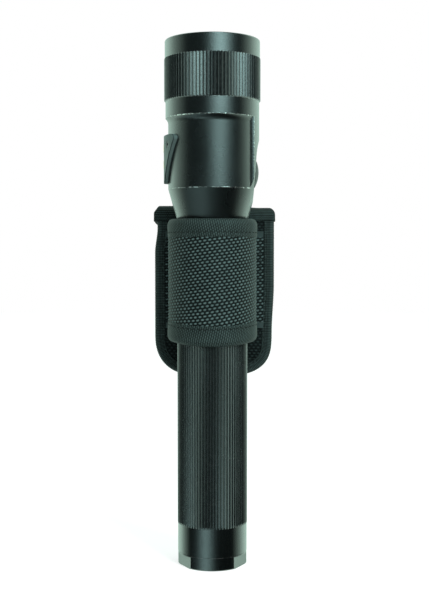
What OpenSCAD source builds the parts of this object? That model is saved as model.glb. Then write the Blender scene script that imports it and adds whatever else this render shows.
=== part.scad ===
// Tactical flashlight: a rechargeable aluminium duty light seated in its nylon belt holder.
//
// Millimetres. The origin is the centre of the tail cap's rear face. +Z runs up the light's
// axis to the lens, +X is the switch side, -X the charging side, -Y the front of the belt
// holder and +Y its back, where the belt passes.

/* [Face cap] */
// Radius over the crests of the fluted band
face_r = 20; // [19.6:0.1:22]
// Number of flutes round the fluted band
face_flute_count = 87; // [60:1:110]
// Length of the fluted band
face_flute_len = 17.9; // [14:0.1:24]
// Height of the flutes' crests above the plain lip
face_lip_step = 0.25; // [0.1:0.05:0.3]
// Length of the plain lip in front of the flutes
face_lip_len = 7.3; // [5:0.1:12]
// Rounding of the lip's outer edge
face_lip_round = 0.6; // [0.2:0.1:0.9]
// Thickness of the inward lip that holds the lens
face_window_t = 3; // [2:0.1:4]
// Wall between the flutes' roots and the threaded bore
face_wall = 1.38; // [1.2:0.02:1.6]
// Crests of the fluted band above the head band
face_overhang = 0.53; // [0.3:0.01:0.7]

/* [Flutes] */
// Slope of each flute's flanks, in degrees
flute_angle = 27; // [20:1:30]
// Bevel at the ends of the flutes
flute_bevel = 0.45; // [0.2:0.05:0.6]

/* [Head] */
// Half angle of the cone between the grip and the head, in degrees
cone_angle = 15.6; // [14:0.1:18]
// Length of the head from the cone's top to the face cap
head_band_len = 32.1; // [31:0.1:38]
// Depth of the milled pocket under the head band
pocket_depth = 1.12; // [0.9:0.02:1.3]
// Radius of the cutter that leaves the cove round the pocket
cove_r = 3.2; // [2.6:0.1:3.6]
// Distance from the pocket's upper edge to the face cap
pocket_margin = 6.9; // [5:0.1:9]
// Length of the threaded neck inside the face cap
neck_len = 8; // [6:0.1:9]
// Wall of the threaded neck
neck_wall = 1.75; // [1.6:0.05:2]

/* [Thumb pad and switch] */
// Half of the angle that the raised pad spans, in degrees
pad_half_angle = 35.5; // [33:0.5:39]
// Depth of the thumb flat below the head band at the button's centre
flat_depth = 1.82; // [1.6:0.02:2]
// Tilt of the thumb flat, in degrees
flat_tilt = 4.1; // [3:0.1:5]
// Height of the button's centre above the pocket's lower rim
button_rise = 6.2; // [5.8:0.1:7.5]
// Distance up the flat from the button's centre to the start of the scoop
scoop_start = 6.8; // [6.2:0.1:8]
// Radius of the scoop that leads from the head band down to the flat
scoop_r = 37; // [30:1:50]
// Radius of the rubber button
button_r = 5.5; // [4.5:0.1:5.8]
// Height of the button above the flat
button_proud = 1.6; // [1.3:0.05:2]
// Radius of the button's domed top
button_dome_r = 12.6; // [11:0.1:20]
// Depth of the button below the flat
button_depth = 1.6; // [1.3:0.1:1.7]
// Travel of the button when pressed
button_travel = 1; // [0.6:0.1:1]
// Radius of the pin under the button
plunger_r = 3; // [2:0.1:3.5]
// Length of the pin inside the switch module
plunger_reach = 2; // [1.5:0.1:3]

/* [Charge block] */
// Height of the wedge-shaped block
block_h = 19.6; // [17:0.1:22]
// Width of the block's narrow lower end
block_foot_w = 8.4; // [7.5:0.1:10]
// Width of the block's upper end
block_head_w = 24.6; // [22:0.1:27]
// Height of the block's lower end above the pocket's lower rim
block_rise = 2.35; // [2:0.05:4]
// Height of the block's face above the head band
block_proud = 0.73; // [0.5:0.01:1.2]
// Inward lean of the block's sides over their height
block_draft = 0.65; // [0.3:0.05:0.9]
// Inward lean of the block's two ends over their height
block_end_draft = 0.2; // [0:0.05:0.4]
// Corner radius of the block's base
block_corner_r = 1.8; // [1.2:0.1:2.4]
// Width of each charge contact
contact_w = 5; // [3.5:0.1:5.5]
// Height of each charge contact
contact_h = 3; // [2:0.1:3.5]
// Distance between the two charge contacts, centre to centre
contact_spacing = 6.6; // [5.6:0.1:7.5]
// Radius of the block screws' heads
screw_head_r = 1.5; // [1.2:0.1:1.6]
// Radius of the block screws' threads
screw_r = 0.8; // [0.6:0.1:0.9]

/* [Barrel] */
// Radius over the crests of the grip
grip_r = 14.65; // [14.6:0.05:15.2]
// Number of flutes round the grip
grip_flute_count = 74; // [50:1:90]
// Wall of the plain tail band round the tail cap's spigot
tail_band_wall = 1.6; // [1.4:0.02:1.8]
// Depth of the plain tail band below the grip's crests
tail_band_step = 0.15; // [0.1:0.01:0.3]
// Length of the plain tail band
tail_band_len = 11.6; // [9:0.1:18]
// Length of the spigot that screws into the head
joint_len = 8; // [6:0.1:9]
// Wall of the spigot that screws into the head
joint_wall = 1.25; // [1.1:0.05:1.3]

/* [Battery] */
// Radius of one cell
cell_r = 11.5; // [11.3:0.05:11.6]
// Length of one cell with its terminal
cell_len = 43; // [40:0.5:50]
// Radius of a cell's positive terminal
cell_terminal_r = 4; // [3:0.1:6]
// Height of a cell's positive terminal
cell_terminal_h = 1; // [0.6:0.1:1.5]
// Thickness of the battery's sleeve
sleeve_t = 0.25; // [0.15:0.05:0.35]

/* [Tail cap] */
// Height of the tail cap below the barrel
tail_cap_h = 5.4; // [4.5:0.1:8]
// Depth of the tail cap below the tail band
tail_cap_step = 0.08; // [0:0.01:0.3]
// Depth of each of the three flats
tail_flat_depth = 1; // [0.5:0.1:1.2]
// Bevel round the tail cap's rear edge
tail_bevel = 0.4; // [0.2:0.05:0.6]
// Thickness of the tail cap's floor
tail_floor = 3; // [2:0.1:3.6]
// Length of the tail cap's threaded spigot
tail_spigot_len = 7.2; // [6.8:0.1:9]
// Wall of the tail cap's threaded spigot
tail_spigot_wall = 2.25; // [1.9:0.05:2.5]
// Radius of the tail spring's coil
spring_r = 8; // [6:0.1:8.5]
// Radius of the tail spring's wire
spring_wire_r = 0.6; // [0.4:0.05:0.7]
// Turns of the tail spring
spring_turns = 4.5; // [3:0.5:5]
// Thickness of the tail contact plate
tail_contact_t = 0.8; // [0.5:0.1:1.2]

/* [Light engine] */
// Thickness of the lens
lens_t = 3; // [2:0.1:4]
// Thickness of the lens gasket
gasket_t = 1; // [0.6:0.1:1.5]
// Width of the lens gasket
gasket_w = 1.7; // [1.2:0.1:1.9]
// Radius of the reflector's throat
throat_r = 3.6; // [3:0.1:4.5]
// Wall of the reflector
reflector_t = 1.2; // [0.8:0.1:1.5]
// Wall of the reflector's skirt, which stands on the neck
skirt_t = 0.9; // [0.7:0.1:1.1]
// Distance from the face cap's edge down to the heat sink's face
sink_drop = 5; // [4.5:0.1:6]
// Height of the heat sink
sink_h = 13.4; // [12.5:0.1:14]
// Wall of the heat sink's skirt
sink_wall = 2; // [1.5:0.1:3]
// Height of the heat sink's skirt
sink_skirt_h = 4; // [3:0.1:6]
// Thickness of the circuit boards
board_t = 1.6; // [1:0.1:2]
// Radius of the LED board
led_board_r = 8; // [7.6:0.1:8.6]
// Side of the LED's square base
led_w = 3.4; // [2.4:0.1:3.6]
// Height of the LED's base
led_h = 0.6; // [0.4:0.1:0.9]
// Radius of the LED's dome
led_dome_r = 1.4; // [1:0.1:1.5]
// Height of the threaded ring over the heat sink
module_ring_h = 2.4; // [1.5:0.1:3]
// Width of the threaded ring over the heat sink
module_ring_w = 2.6; // [2:0.1:3]
// Thickness of the contact insulator
insulator_t = 2.4; // [1.5:0.1:3]
// Radius of the front contact pin
front_contact_r = 3; // [2:0.1:4]

/* [O-rings] */
// Radius of the face cap's O-ring cord
face_seal_r = 0.5; // [0.4:0.05:0.6]
// Radius of the tail cap's O-ring cord
tail_seal_r = 0.7; // [0.5:0.05:0.8]

/* [Holder ring] */
// Height of the ring
ring_h = 51.3; // [45:0.1:60]
// Thickness of the padded ring
ring_t = 3.25; // [2.5:0.05:4]
// Air between the ring and the grip
ring_clear = 0.45; // [0.35:0.05:1]
// Gap left where the cone seats on the ring
ring_seat_gap = 0.22; // [0.1:0.01:0.3]
// Height of the binding tape on the ring's upper edge
top_tape_h = 7.5; // [5:0.1:10]
// Thickness of the binding tape on the ring's upper edge
top_tape_t = 0.25; // [0.2:0.05:0.5]
// Height of the binding tape on the ring's lower edge
bottom_tape_h = 8.4; // [5:0.1:10]
// Thickness of the binding tape on the ring's lower edge
bottom_tape_t = 0.55; // [0.2:0.05:0.7]
// Thickness of the ring's sewn flanges
flange_t = 1; // [0.8:0.1:1.5]

/* [Holder panel] */
// Width of the panel over its edge tape
panel_w = 51.8; // [50:0.1:60]
// Height of the panel and its fold
panel_h = 73.9; // [70:0.1:90]
// Thickness of the panel
panel_t = 2.6; // [2.4:0.1:4]
// Radius of the panel's lower corners
panel_corner_r = 17.4; // [12:0.1:20]
// Height of the panel's top above the ring
panel_above_ring = 6.7; // [6:0.1:10]
// Distance by which the panel is sewn off the ring's centre
panel_shift = 0.9; // [-1.5:0.1:1.5]
// Air between the panel and the cone
panel_clear = 0.45; // [0.35:0.05:2]
// Width of the panel's edge tape
edge_tape_w = 4.4; // [3:0.1:4.6]
// Thickness of the panel's edge tape
edge_tape_t = 0.4; // [0.3:0.05:0.6]

/* [Belt loop] */
// Thickness of the belt loop's webbing
loop_t = 2.2; // [1.6:0.1:3]
// Depth of the slot for the belt
belt_gap = 5; // [4.5:0.1:8]
// Width of the fold over the panel's top
fold_w = 52.8; // [51:0.1:61]
// Height of the fold's front lip
fold_h = 5.6; // [4.5:0.1:6]
// Thickness of the fold's front lip
fold_lip_t = 1.2; // [0.8:0.1:1.4]
// Corner radius and bevel of the fold
fold_corner = 1.3; // [0.8:0.1:2]
// Height of the seam that closes the loop's foot
seam_h = 5.8; // [4:0.1:8]

/* [Fits] */
// Radial clearance of threads, spigots and other running fits
fit = 0.05; // [0.02:0.01:0.1]
// Air between pieces that meet end to end
end_gap = 0.1; // [0.05:0.01:0.15]
// Shadow gap between the tail cap and the barrel
seam_gap = 0.15; // [0.1:0.01:0.2]
// Clearance round the button and its pin
button_clear = 0.08; // [0.03:0.01:0.1]
// Clearance round the battery's sleeve in the barrel
bore_clear = 0.15; // [0.1:0.05:0.3]

/* [Hidden] */
$fn = 96;
over = 1;              // how far a cutting shape runs past what it cuts
far = 60;              // beyond every part of the light, for wide cuts
touch = 0.01;          // overlap that joins two solids set end to end

// Radii, from the face cap in
function flute_depth(r, count) = PI * r / count * tan(flute_angle);
face_lip_r = face_r - face_lip_step;
face_bore_r = face_r - flute_depth(face_r, face_flute_count) - face_wall;
neck_r = face_bore_r - fit;
cavity_r = neck_r - neck_wall;
head_r = face_r - face_overhang;
pocket_r = head_r - pocket_depth;
window_r = face_bore_r - gasket_w - fit;

// Radii, from the battery out
sleeve_in_r = cell_r + fit;
sleeve_out_r = sleeve_in_r + sleeve_t;
bore_r = sleeve_out_r + bore_clear;
joint_r = bore_r + joint_wall;
socket_r = joint_r + fit;
grip_root_r = grip_r - flute_depth(grip_r, grip_flute_count);
tail_band_r = grip_r - tail_band_step;
tail_socket_r = tail_band_r - tail_band_wall;
tail_spigot_r = tail_socket_r - fit;
tail_cavity_r = tail_spigot_r - tail_spigot_wall;
tail_cap_r = tail_band_r - tail_cap_step;

// Heights up the light's axis, from the tail
cell_names = ["rear", "middle", "front"];
cell_setback = 0.4;    // from the tail spigot's end to the rear cell
cell_headroom = 0.5;   // from the front cell to the shoulder where the barrel meets the head
head_collar = 1.2;     // straight collar of the head under its cone
socket_runout = 0.8;   // depth of the tail socket past the spigot's end
z_barrel = tail_cap_h + seam_gap;
z_grip = tail_cap_h + tail_band_len;
z_tail_spigot = tail_cap_h + tail_spigot_len;
z_cells = z_tail_spigot + cell_setback;
z_cells_top = z_cells + len(cell_names) * cell_len;
z_joint = z_cells_top + cell_headroom;
z_cone = z_joint + head_collar;
z_cone_top = z_cone + (head_r - grip_r) / tan(cone_angle);
z_rim = z_cone + (pocket_r - grip_r) / tan(cone_angle);
z_face = z_cone_top + head_band_len;
z_lip = z_face + face_flute_len;
z_top = z_lip + face_lip_len;
z_pocket_top = z_face - pocket_margin;
z_cove = z_pocket_top - sqrt(pow(cove_r, 2) - pow(cove_r - pocket_depth, 2));

// Heights inside the head
driver_air = 2;        // air under the driver board, for its parts
throat_gap = 0.3;      // from the LED board to the reflector's throat
z_neck = z_face + neck_len;
z_sink_top = z_face - sink_drop;
z_sink = z_sink_top - sink_h;
z_ledge = z_sink - board_t;
z_led_board_top = z_sink_top + board_t;
z_insulator = z_joint + joint_len + end_gap;
z_switch = z_insulator + insulator_t;
z_switch_top = z_ledge - driver_air;
z_gasket = z_top - face_window_t - gasket_t;
z_lens = z_gasket - lens_t;
z_throat = z_led_board_top + throat_gap;
z_skirt = z_neck + end_gap;

// O-ring grooves, each behind a shoulder of metal
tail_seal_shoulder = 1;
face_seal_shoulder = 1.5;
tail_seal_z = z_barrel + tail_seal_shoulder + tail_seal_r;
face_seal_z = z_face + face_seal_shoulder + face_seal_r;

// Reflector: a parabola through the throat and the rim
reflector_rim_r = window_r;
reflector_step = (pow(reflector_rim_r, 2) - pow(throat_r, 2)) / (z_lens - z_throat);
function reflector_r(z) = sqrt(pow(throat_r, 2) + reflector_step * (z - z_throat));
reflector_points = 24;

// Thumb flat: its line in the X-Z plane and the scoop that follows it upwards
button_z = z_rim + button_rise;
button_x = head_r - flat_depth;
scoop_from = [button_x, button_z] + scoop_start * [sin(flat_tilt), cos(flat_tilt)];
scoop_centre = scoop_from + scoop_r * [cos(flat_tilt), -sin(flat_tilt)];
scoop_span = 25;
scoop_points = 40;
flat_run = 30;         // length of the flat below the button's centre, out past the cone

// Button: the gaps under it and under its pin
button_gap = 0.2;
plunger_gap = 0.3;

// Pad: the cutter's path round it, on a radius that dips just under the pocket's floor
cutter_dip = 0.06;
cutter_path_r = pocket_r + cove_r - cutter_dip;

// Charge block: two contacts one above the other, one screw below them, two beside the upper one
block_z = z_rim + block_rise;
block_r = head_r + block_proud;
block_sink = 5;        // how far the block's blank reaches under the floor before it is cut back
contact_share = 0.57;  // height of the contacts' middle, as a share of the block's
contact_depth = 1.2;
contact_proud = 0.1;
contact_z = block_z + block_h * contact_share;
screw_angle = 24;
screw_low = 3.4;
screw_high = 4;
screw_reach = 1.3;
screw_sink = 0.15;
screw_socket_depth = 0.7;
screw_socket_r = screw_head_r / 2;
screw_sets = [
    [0, block_z + screw_low],
    [-screw_angle, block_z + block_h - screw_high],
    [screw_angle, block_z + block_h - screw_high]
];

// Holder
ring_in_r = grip_r + ring_clear;
ring_out_r = ring_in_r + ring_t;
z_ring_top = z_cone + (ring_clear - ring_seat_gap) / tan(cone_angle);
z_ring = z_ring_top - ring_h;
z_panel_top = z_ring_top + panel_above_ring;
z_panel = z_panel_top - panel_h;
z_fold = z_panel_top - fold_h;
panel_y = grip_r + (z_panel_top - z_cone) * tan(cone_angle) + panel_clear;
panel_back_y = panel_y + panel_t;
loop_y = panel_back_y + belt_gap;
loop_back_y = loop_y + loop_t;
panel_in_w = panel_w - 2 * edge_tape_w;
tape_inside_t = 0.25;  // the edge tapes' inner leg, flush with the ring's bore
tape_edge_t = 0.8;     // the edge tapes' thickness over the wall's edge
tape_roll_r = 1.5;     // roll of the tapes over the ring's edges
flange_gap = 0.3;      // from the ring's sewn flanges to the panel's edge tape
flange_lap = 0.5;      // how far the flanges reach into the ring's wall
roll_r = (loop_back_y - panel_y) / 2;
roll_points = 16;
z_roll = z_panel_top - roll_r;
foot_gap = 0.3;        // from the panel's edge tape to the loop's foot
z_foot = z_panel + edge_tape_w + foot_gap;
z_seam_top = z_foot + seam_h;
foot_rise = 0.8;       // slope of the loop's foot where the webbing leaves the panel
loop_inset = 0.3;      // from the panel's side edge to the loop's
loop_w = panel_w - 2 * loop_inset;

// Every sub-part, in order from the tail

// ---- Shapes used more than once ----

// Points along an arc about centre, from angle a0 to angle a1 in degrees
function arc(centre, r, a0, a1, steps) =
    [for (i = [0 : steps]) let (a = a0 + (a1 - a0) * i / steps) centre + r * [cos(a), sin(a)]];

module disc(z, r, h) {
    translate([0, 0, z]) cylinder(r = r, h = h);
}

module tube(z, r, inner_r, h) {
    difference() {
        disc(z, r, h);
        disc(z - over, inner_r, h + 2 * over);
    }
}

// A half section [w, h] whose outer upper corner is rounded
module rounded_section(w, h, round_r) {
    square([w - round_r, h]);
    square([w, h - round_r]);
    translate([w - round_r, h - round_r]) circle(r = round_r);
}

// Star outline of straight V flutes: crests on radius r, flanks sloped by flute_angle
module fluted_outline(r, count) {
    root_r = r - flute_depth(r, count);
    polygon([for (i = [0 : 2 * count - 1])
        (i % 2 == 0 ? r : root_r) * [cos(180 * i / count), sin(180 * i / count)]]);
}

// A fluted drum from z up, with both of its ends bevelled
module fluted_drum(z, r, count, h) {
    translate([0, 0, z]) intersection() {
        linear_extrude(h) fluted_outline(r, count);
        rotate_extrude() polygon([
            [0, 0], [r - flute_bevel, 0], [r + over, flute_bevel + over],
            [r + over, h - flute_bevel - over], [r - flute_bevel, h], [0, h]
        ]);
    }
}

module o_ring(z, r, cord_r) {
    translate([0, 0, z]) rotate_extrude() translate([r - cord_r, 0]) circle(r = cord_r);
}

// Rectangular groove for an O-ring whose outside lies on radius r
module o_ring_groove(z, r, cord_r) {
    tube(z - cord_r - fit, r + over, r - 2 * cord_r - fit, 2 * (cord_r + fit));
}

// ---- Tail ----

module tail_cap() {
    color("#26292b") difference() {
        union() {
            rotate_extrude() polygon([
                [0, 0], [tail_cap_r - tail_bevel, 0], [tail_cap_r, tail_bevel],
                [tail_cap_r, tail_cap_h], [0, tail_cap_h]
            ]);
            disc(tail_floor, tail_spigot_r, z_tail_spigot - tail_floor);
        }
        disc(tail_floor, tail_cavity_r, z_tail_spigot);
        for (a = [-30, 90, 210]) rotate([0, 0, a])
            translate([tail_cap_r - tail_flat_depth, -tail_cap_r, -over])
                cube([tail_cap_r, 2 * tail_cap_r, tail_cap_h - tail_bevel + over]);
        o_ring_groove(tail_seal_z, tail_spigot_r, tail_seal_r);
    }
}

module tail_seal() {
    color("#141414") o_ring(tail_seal_z, tail_spigot_r, tail_seal_r);
}

// Round wire swept along a helix that closes flat at both ends
module tail_spring() {
    ring_sides = 8;
    rings_a_turn = 20;
    rings = ceil(rings_a_turn * spring_turns);
    rise = z_cells - tail_contact_t - tail_floor - 2 * spring_wire_r;
    points = [for (i = [0 : rings], j = [0 : ring_sides - 1])
        let (a = 360 * spring_turns * i / rings, b = 360 * j / ring_sides,
             r = spring_r - spring_wire_r + spring_wire_r * cos(b))
        [r * cos(a), r * sin(a),
         tail_floor + spring_wire_r * (1 + sin(b)) + rise * (1 - cos(180 * i / rings)) / 2]];
    sides = [for (i = [0 : rings - 1], j = [0 : ring_sides - 1])
        let (a = i * ring_sides + j, b = i * ring_sides + (j + 1) % ring_sides)
        [a, b, b + ring_sides, a + ring_sides]];
    start = [[for (j = [ring_sides - 1 : -1 : 0]) j]];
    end = [[for (j = [0 : ring_sides - 1]) rings * ring_sides + j]];
    color("silver") polyhedron(points, concat(sides, start, end));
}

module tail_contact() {
    rim = 1;
    color("goldenrod") disc(z_cells - tail_contact_t, spring_r + rim, tail_contact_t);
}

// ---- Barrel and battery ----

module barrel() {
    color("#2b2f31") difference() {
        union() {
            disc(z_barrel, tail_band_r, z_grip - z_barrel + over);
            fluted_drum(z_grip, grip_r, grip_flute_count, z_joint - z_grip);
            disc(z_joint - over, joint_r, joint_len + over);
        }
        disc(z_barrel - over, bore_r, z_joint + joint_len);
        disc(z_barrel - over, tail_socket_r, z_tail_spigot + socket_runout - z_barrel + over);
    }
}

module battery_cell(index) {
    z = z_cells + index * cell_len;
    color("#7d8790") {
        disc(z, cell_r, cell_len - cell_terminal_h);
        disc(z + cell_len - cell_terminal_h - touch, cell_terminal_r, cell_terminal_h + touch);
    }
}

module battery_sleeve() {
    color("#3d5a78") tube(z_cells, sleeve_out_r, sleeve_in_r, z_cells_top - z_cells - cell_terminal_h);
}

module front_contact() {
    color("goldenrod") disc(z_cells_top, front_contact_r, z_insulator - z_cells_top);
}

module contact_insulator() {
    color("#3a3a3a") disc(z_insulator, joint_r, insulator_t);
}

// ---- Head ----

// Outline of the head and cone in half section, without the pocket
module head_section() {
    polygon([
        [0, z_joint], [grip_r, z_joint], [grip_r, z_cone], [head_r, z_cone_top],
        [head_r, z_face], [neck_r, z_face], [neck_r, z_neck], [0, z_neck]
    ]);
}

// Milled pocket in half section: a floor that runs out through the cone, and a cove at the top
module pocket_section() {
    translate([pocket_r, z_cone]) square([far, z_cove - z_cone]);
    translate([pocket_r + cove_r, z_cove]) circle(r = cove_r);
    translate([pocket_r + cove_r, z_cove]) square([far, cove_r]);
}

// The raised pad at the switch side, as the space that the pocket's cutter keeps out of
module pad_keep() {
    translate([0, 0, z_joint]) linear_extrude(z_face - z_joint) difference() {
        polygon([[0, 0], far * [cos(pad_half_angle), -sin(pad_half_angle)],
                 far * [cos(pad_half_angle), sin(pad_half_angle)]]);
        for (side = [-1, 1]) rotate([0, 0, side * pad_half_angle])
            translate([cutter_path_r, 0]) {
                circle(r = cove_r);
                translate([0, -cove_r]) square([far, 2 * cove_r]);
            }
    }
}

// Everything outside the thumb flat and its scoop
module thumb_cut() {
    scoop = arc(scoop_centre, scoop_r, 180 - flat_tilt, 180 - flat_tilt - scoop_span, scoop_points);
    foot = [button_x, button_z] - flat_run * [sin(flat_tilt), cos(flat_tilt)];
    rotate([90, 0, 0]) linear_extrude(2 * head_r, center = true)
        polygon(concat([foot], scoop, [[far, z_face], [far, foot[1]]]));
}

// Places its children on the thumb flat: +Z points out along the button's travel
module on_flat(depth = 0) {
    translate([button_x, 0, button_z]) rotate([0, 90 + flat_tilt, 0]) translate([0, 0, -depth]) children();
}

function button_well() = button_depth + button_travel + button_gap;
function plunger_tip() = (button_x - joint_r) + plunger_reach;

module head_housing() {
    color("#2b2f31") difference() {
        rotate_extrude() head_section();
        difference() {
            rotate_extrude() pocket_section();
            pad_keep();
        }
        thumb_cut();
        disc(z_joint - over, socket_r, z_ledge - z_joint + 2 * over);
        disc(z_ledge, cavity_r, z_neck - z_ledge + over);
        on_flat(button_well()) cylinder(r = button_r + button_clear, h = far);
        on_flat(plunger_tip()) cylinder(r = plunger_r + button_clear, h = far);
        o_ring_groove(face_seal_z, neck_r, face_seal_r);
        screw_places() disc(-screw_reach, screw_r, far);
    }
}

module switch_module() {
    color("#202428") difference() {
        disc(z_switch, joint_r, z_switch_top - z_switch);
        on_flat(plunger_tip() + button_travel + plunger_gap) cylinder(r = plunger_r + button_clear, h = far);
    }
}

module switch_plunger() {
    color("#d0d0d0") on_flat(plunger_tip()) cylinder(r = plunger_r, h = plunger_tip() - button_depth);
}

module switch_boot() {
    h = button_depth + button_proud;
    color("#101010") on_flat(button_depth) intersection() {
        disc(0, button_r, h);
        translate([0, 0, h - button_dome_r]) sphere(r = button_dome_r);
    }
}

module driver_board() {
    color("#1f5c38") disc(z_ledge, cavity_r - fit, board_t);
}

module heat_sink() {
    color("#c4c8cc") difference() {
        disc(z_sink, cavity_r - fit, sink_h);
        disc(z_sink - over, cavity_r - fit - sink_wall, sink_skirt_h + over);
    }
}

module module_ring() {
    color("#55595c") tube(z_sink_top, cavity_r - fit, cavity_r - fit - module_ring_w, module_ring_h);
}

module led_board() {
    color("#e6e6e0") disc(z_sink_top, led_board_r, board_t);
}

module led_emitter() {
    color("#f2e27a") difference() {
        union() {
            translate([-led_w / 2, -led_w / 2, z_led_board_top]) cube([led_w, led_w, led_h]);
            translate([0, 0, z_led_board_top + led_h]) sphere(r = led_dome_r);
        }
        disc(z_led_board_top - far, far, far);
    }
}

module face_seal() {
    color("#141414") o_ring(face_seal_z, neck_r, face_seal_r);
}

// ---- Charge block ----

// Places its children on the pocket's floor with +Z pointing out, at each screw
module screw_places() {
    for (place = screw_sets) rotate([0, 0, 180 + place[0]])
        translate([pocket_r, 0, place[1]]) rotate([0, 90, 0]) children();
}

module contact_places() {
    for (side = [-1, 1]) translate([0, 0, contact_z + side * contact_spacing / 2]) children();
}

module contact_slug(clear, r) {
    intersection() {
        translate([-far, -contact_w / 2 - clear, -contact_h / 2 - clear])
            cube([far - block_r + contact_depth, contact_w + 2 * clear, contact_h + 2 * clear]);
        translate([0, 0, -far / 2]) cylinder(r = r, h = far);
    }
}

// One corner of the block, at its lower end (-1) or its upper end (1)
module block_corner(y, z, end) {
    translate([-pocket_r, y, z]) rotate([0, -90, 0]) {
        translate([0, 0, -block_sink]) cylinder(r = block_corner_r, h = block_sink);
        translate([end * (block_draft - block_end_draft), 0, block_r - pocket_r])
            cylinder(r = block_corner_r - block_draft, h = over, $fn = 32);
    }
}

module charge_block() {
    foot_y = block_foot_w / 2 - block_corner_r;
    head_y = block_head_w / 2 - block_corner_r;
    color("#202224") difference() {
        intersection() {
            hull() for (side = [-1, 1]) {
                block_corner(side * foot_y, block_z + block_corner_r, -1);
                block_corner(side * head_y, block_z + block_h - block_corner_r, 1);
            }
            cylinder(r = block_r, h = z_face);
        }
        cylinder(r = pocket_r + touch, h = z_face);
        contact_places() contact_slug(fit, far);
        screw_places() screw_blank(fit, far);
    }
}

module charge_contacts() {
    color("#c9b26a") contact_places() contact_slug(0, block_r + contact_proud);
}

// Countersunk screw whose head ends just under the block's face
module screw_blank(clear, top) {
    head_z = block_r - pocket_r - screw_sink;
    translate([0, 0, -screw_reach]) cylinder(r = screw_r + clear, h = head_z + screw_reach);
    translate([0, 0, head_z - screw_head_r + screw_r])
        cylinder(r1 = screw_r + clear, r2 = screw_head_r + clear, h = screw_head_r - screw_r);
    if (top > 0) translate([0, 0, head_z]) cylinder(r = screw_head_r + clear, h = top);
}

module charge_screws() {
    color("#8a8d90") screw_places() difference() {
        screw_blank(0, 0);
        translate([0, 0, block_r - pocket_r - screw_sink - screw_socket_depth])
            cylinder(r = screw_socket_r, h = over, $fn = 6);
    }
}

// ---- Face cap and lens stack ----

module face_cap() {
    color("#2b2f31") difference() {
        union() {
            fluted_drum(z_face, face_r, face_flute_count, face_flute_len);
            translate([0, 0, z_lip - flute_bevel])
                rotate_extrude() rounded_section(face_lip_r, face_lip_len + flute_bevel, face_lip_round);
        }
        disc(z_face - over, face_bore_r, z_top - face_window_t - z_face + over);
        disc(z_face, window_r, far);
    }
}

module lens() {
    color("#cfe6f2") disc(z_lens, neck_r, lens_t);
}

module lens_gasket() {
    color("#141414") tube(z_gasket, neck_r, neck_r - gasket_w, gasket_t);
}

module reflector() {
    inner = [for (i = [0 : reflector_points])
        let (z = z_throat + (z_lens - z_throat) * i / reflector_points) [reflector_r(z), z]];
    outer = [for (i = [reflector_points - 2 : -1 : 0])
        let (z = z_throat + (z_lens - z_throat) * i / reflector_points) [reflector_r(z) + reflector_t, z]];
    color("#e8eaec") rotate_extrude() polygon(concat(inner, [
        [neck_r, z_lens], [neck_r, z_skirt], [neck_r - skirt_t, z_skirt],
        [neck_r - skirt_t, outer[0][1]]
    ], outer));
}

// ---- Belt holder ----

// Places a half section in the X-Z plane round the front of the ring, and straight back to the panel
module ring_path() {
    rotate([0, 0, 180]) rotate_extrude(angle = 180) children();
    for (side = [0, 1]) mirror([side, 0, 0])
        translate([0, panel_y, 0]) rotate([90, 0, 0]) linear_extrude(panel_y) children();
}

// The ring's padded wall, inside its edge tapes
module ring_wall_section() {
    translate([ring_in_r + tape_inside_t, z_ring + tape_edge_t])
        square([ring_t - tape_inside_t, ring_h - 2 * tape_edge_t]);
}

// An edge tape of thickness t and height h before the wall is cut out of it, rolled at its top
module rolled_section(h, t) {
    w = ring_t + t;
    square([w, h - tape_roll_r]);
    translate([tape_roll_r, 0]) square([w - 2 * tape_roll_r, h]);
    for (x = [tape_roll_r, w - tape_roll_r]) translate([x, h - tape_roll_r]) circle(r = tape_roll_r);
}

module ring_band() {
    flange_x = panel_in_w / 2 - flange_gap;
    color("#3f4542") {
        ring_path() ring_wall_section();
        for (side = [-1, 1]) {
            edge = side * flange_x + panel_shift;
            inner = side * (ring_out_r - flange_lap);
            translate([min(edge, inner), panel_y - flange_t, z_ring + bottom_tape_h])
                cube([abs(edge - inner), flange_t, ring_h - bottom_tape_h - top_tape_h]);
        }
    }
}

module ring_binding_top() {
    color("#2c2f2e") ring_path() difference() {
        translate([ring_in_r, z_ring_top - top_tape_h]) rolled_section(top_tape_h, top_tape_t);
        ring_wall_section();
    }
}

module ring_binding_bottom() {
    color("#2c2f2e") ring_path() difference() {
        translate([ring_in_r, z_ring + bottom_tape_h]) mirror([0, 1])
            rolled_section(bottom_tape_h, bottom_tape_t);
        ring_wall_section();
    }
}

// Sheet of thickness t whose front face lies at y, drawn as an outline in the X-Z plane
module slab(y, t) {
    translate([panel_shift, y + t, 0]) rotate([90, 0, 0]) linear_extrude(t) children();
}

// Outline of width w from z_low to z_high, with its lower corners rounded
module u_outline(w, z_low, z_high, r) {
    translate([-w / 2, z_low + r]) square([w, z_high - z_low - r]);
    translate([-w / 2 + r, z_low]) square([w - 2 * r, r + over]);
    for (side = [-1, 1]) translate([side * (w / 2 - r), z_low + r]) circle(r = r);
}

module holder_panel() {
    color("#35393a") difference() {
        slab(panel_y, panel_t) u_outline(panel_w - 2 * edge_tape_t, z_panel + edge_tape_t,
                                         z_roll - fit, panel_corner_r - edge_tape_t);
        translate([-far, panel_y - over, z_fold - end_gap]) cube([2 * far, over + fold_lip_t, far]);
    }
}

module panel_binding() {
    color("#2c2f2e") difference() {
        slab(panel_y - edge_tape_t, panel_t + 2 * edge_tape_t) difference() {
            u_outline(panel_w, z_panel, z_fold - end_gap, panel_corner_r);
            u_outline(panel_in_w, z_panel + edge_tape_w, z_panel_top, panel_corner_r - edge_tape_w);
        }
        holder_panel();
    }
}

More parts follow.
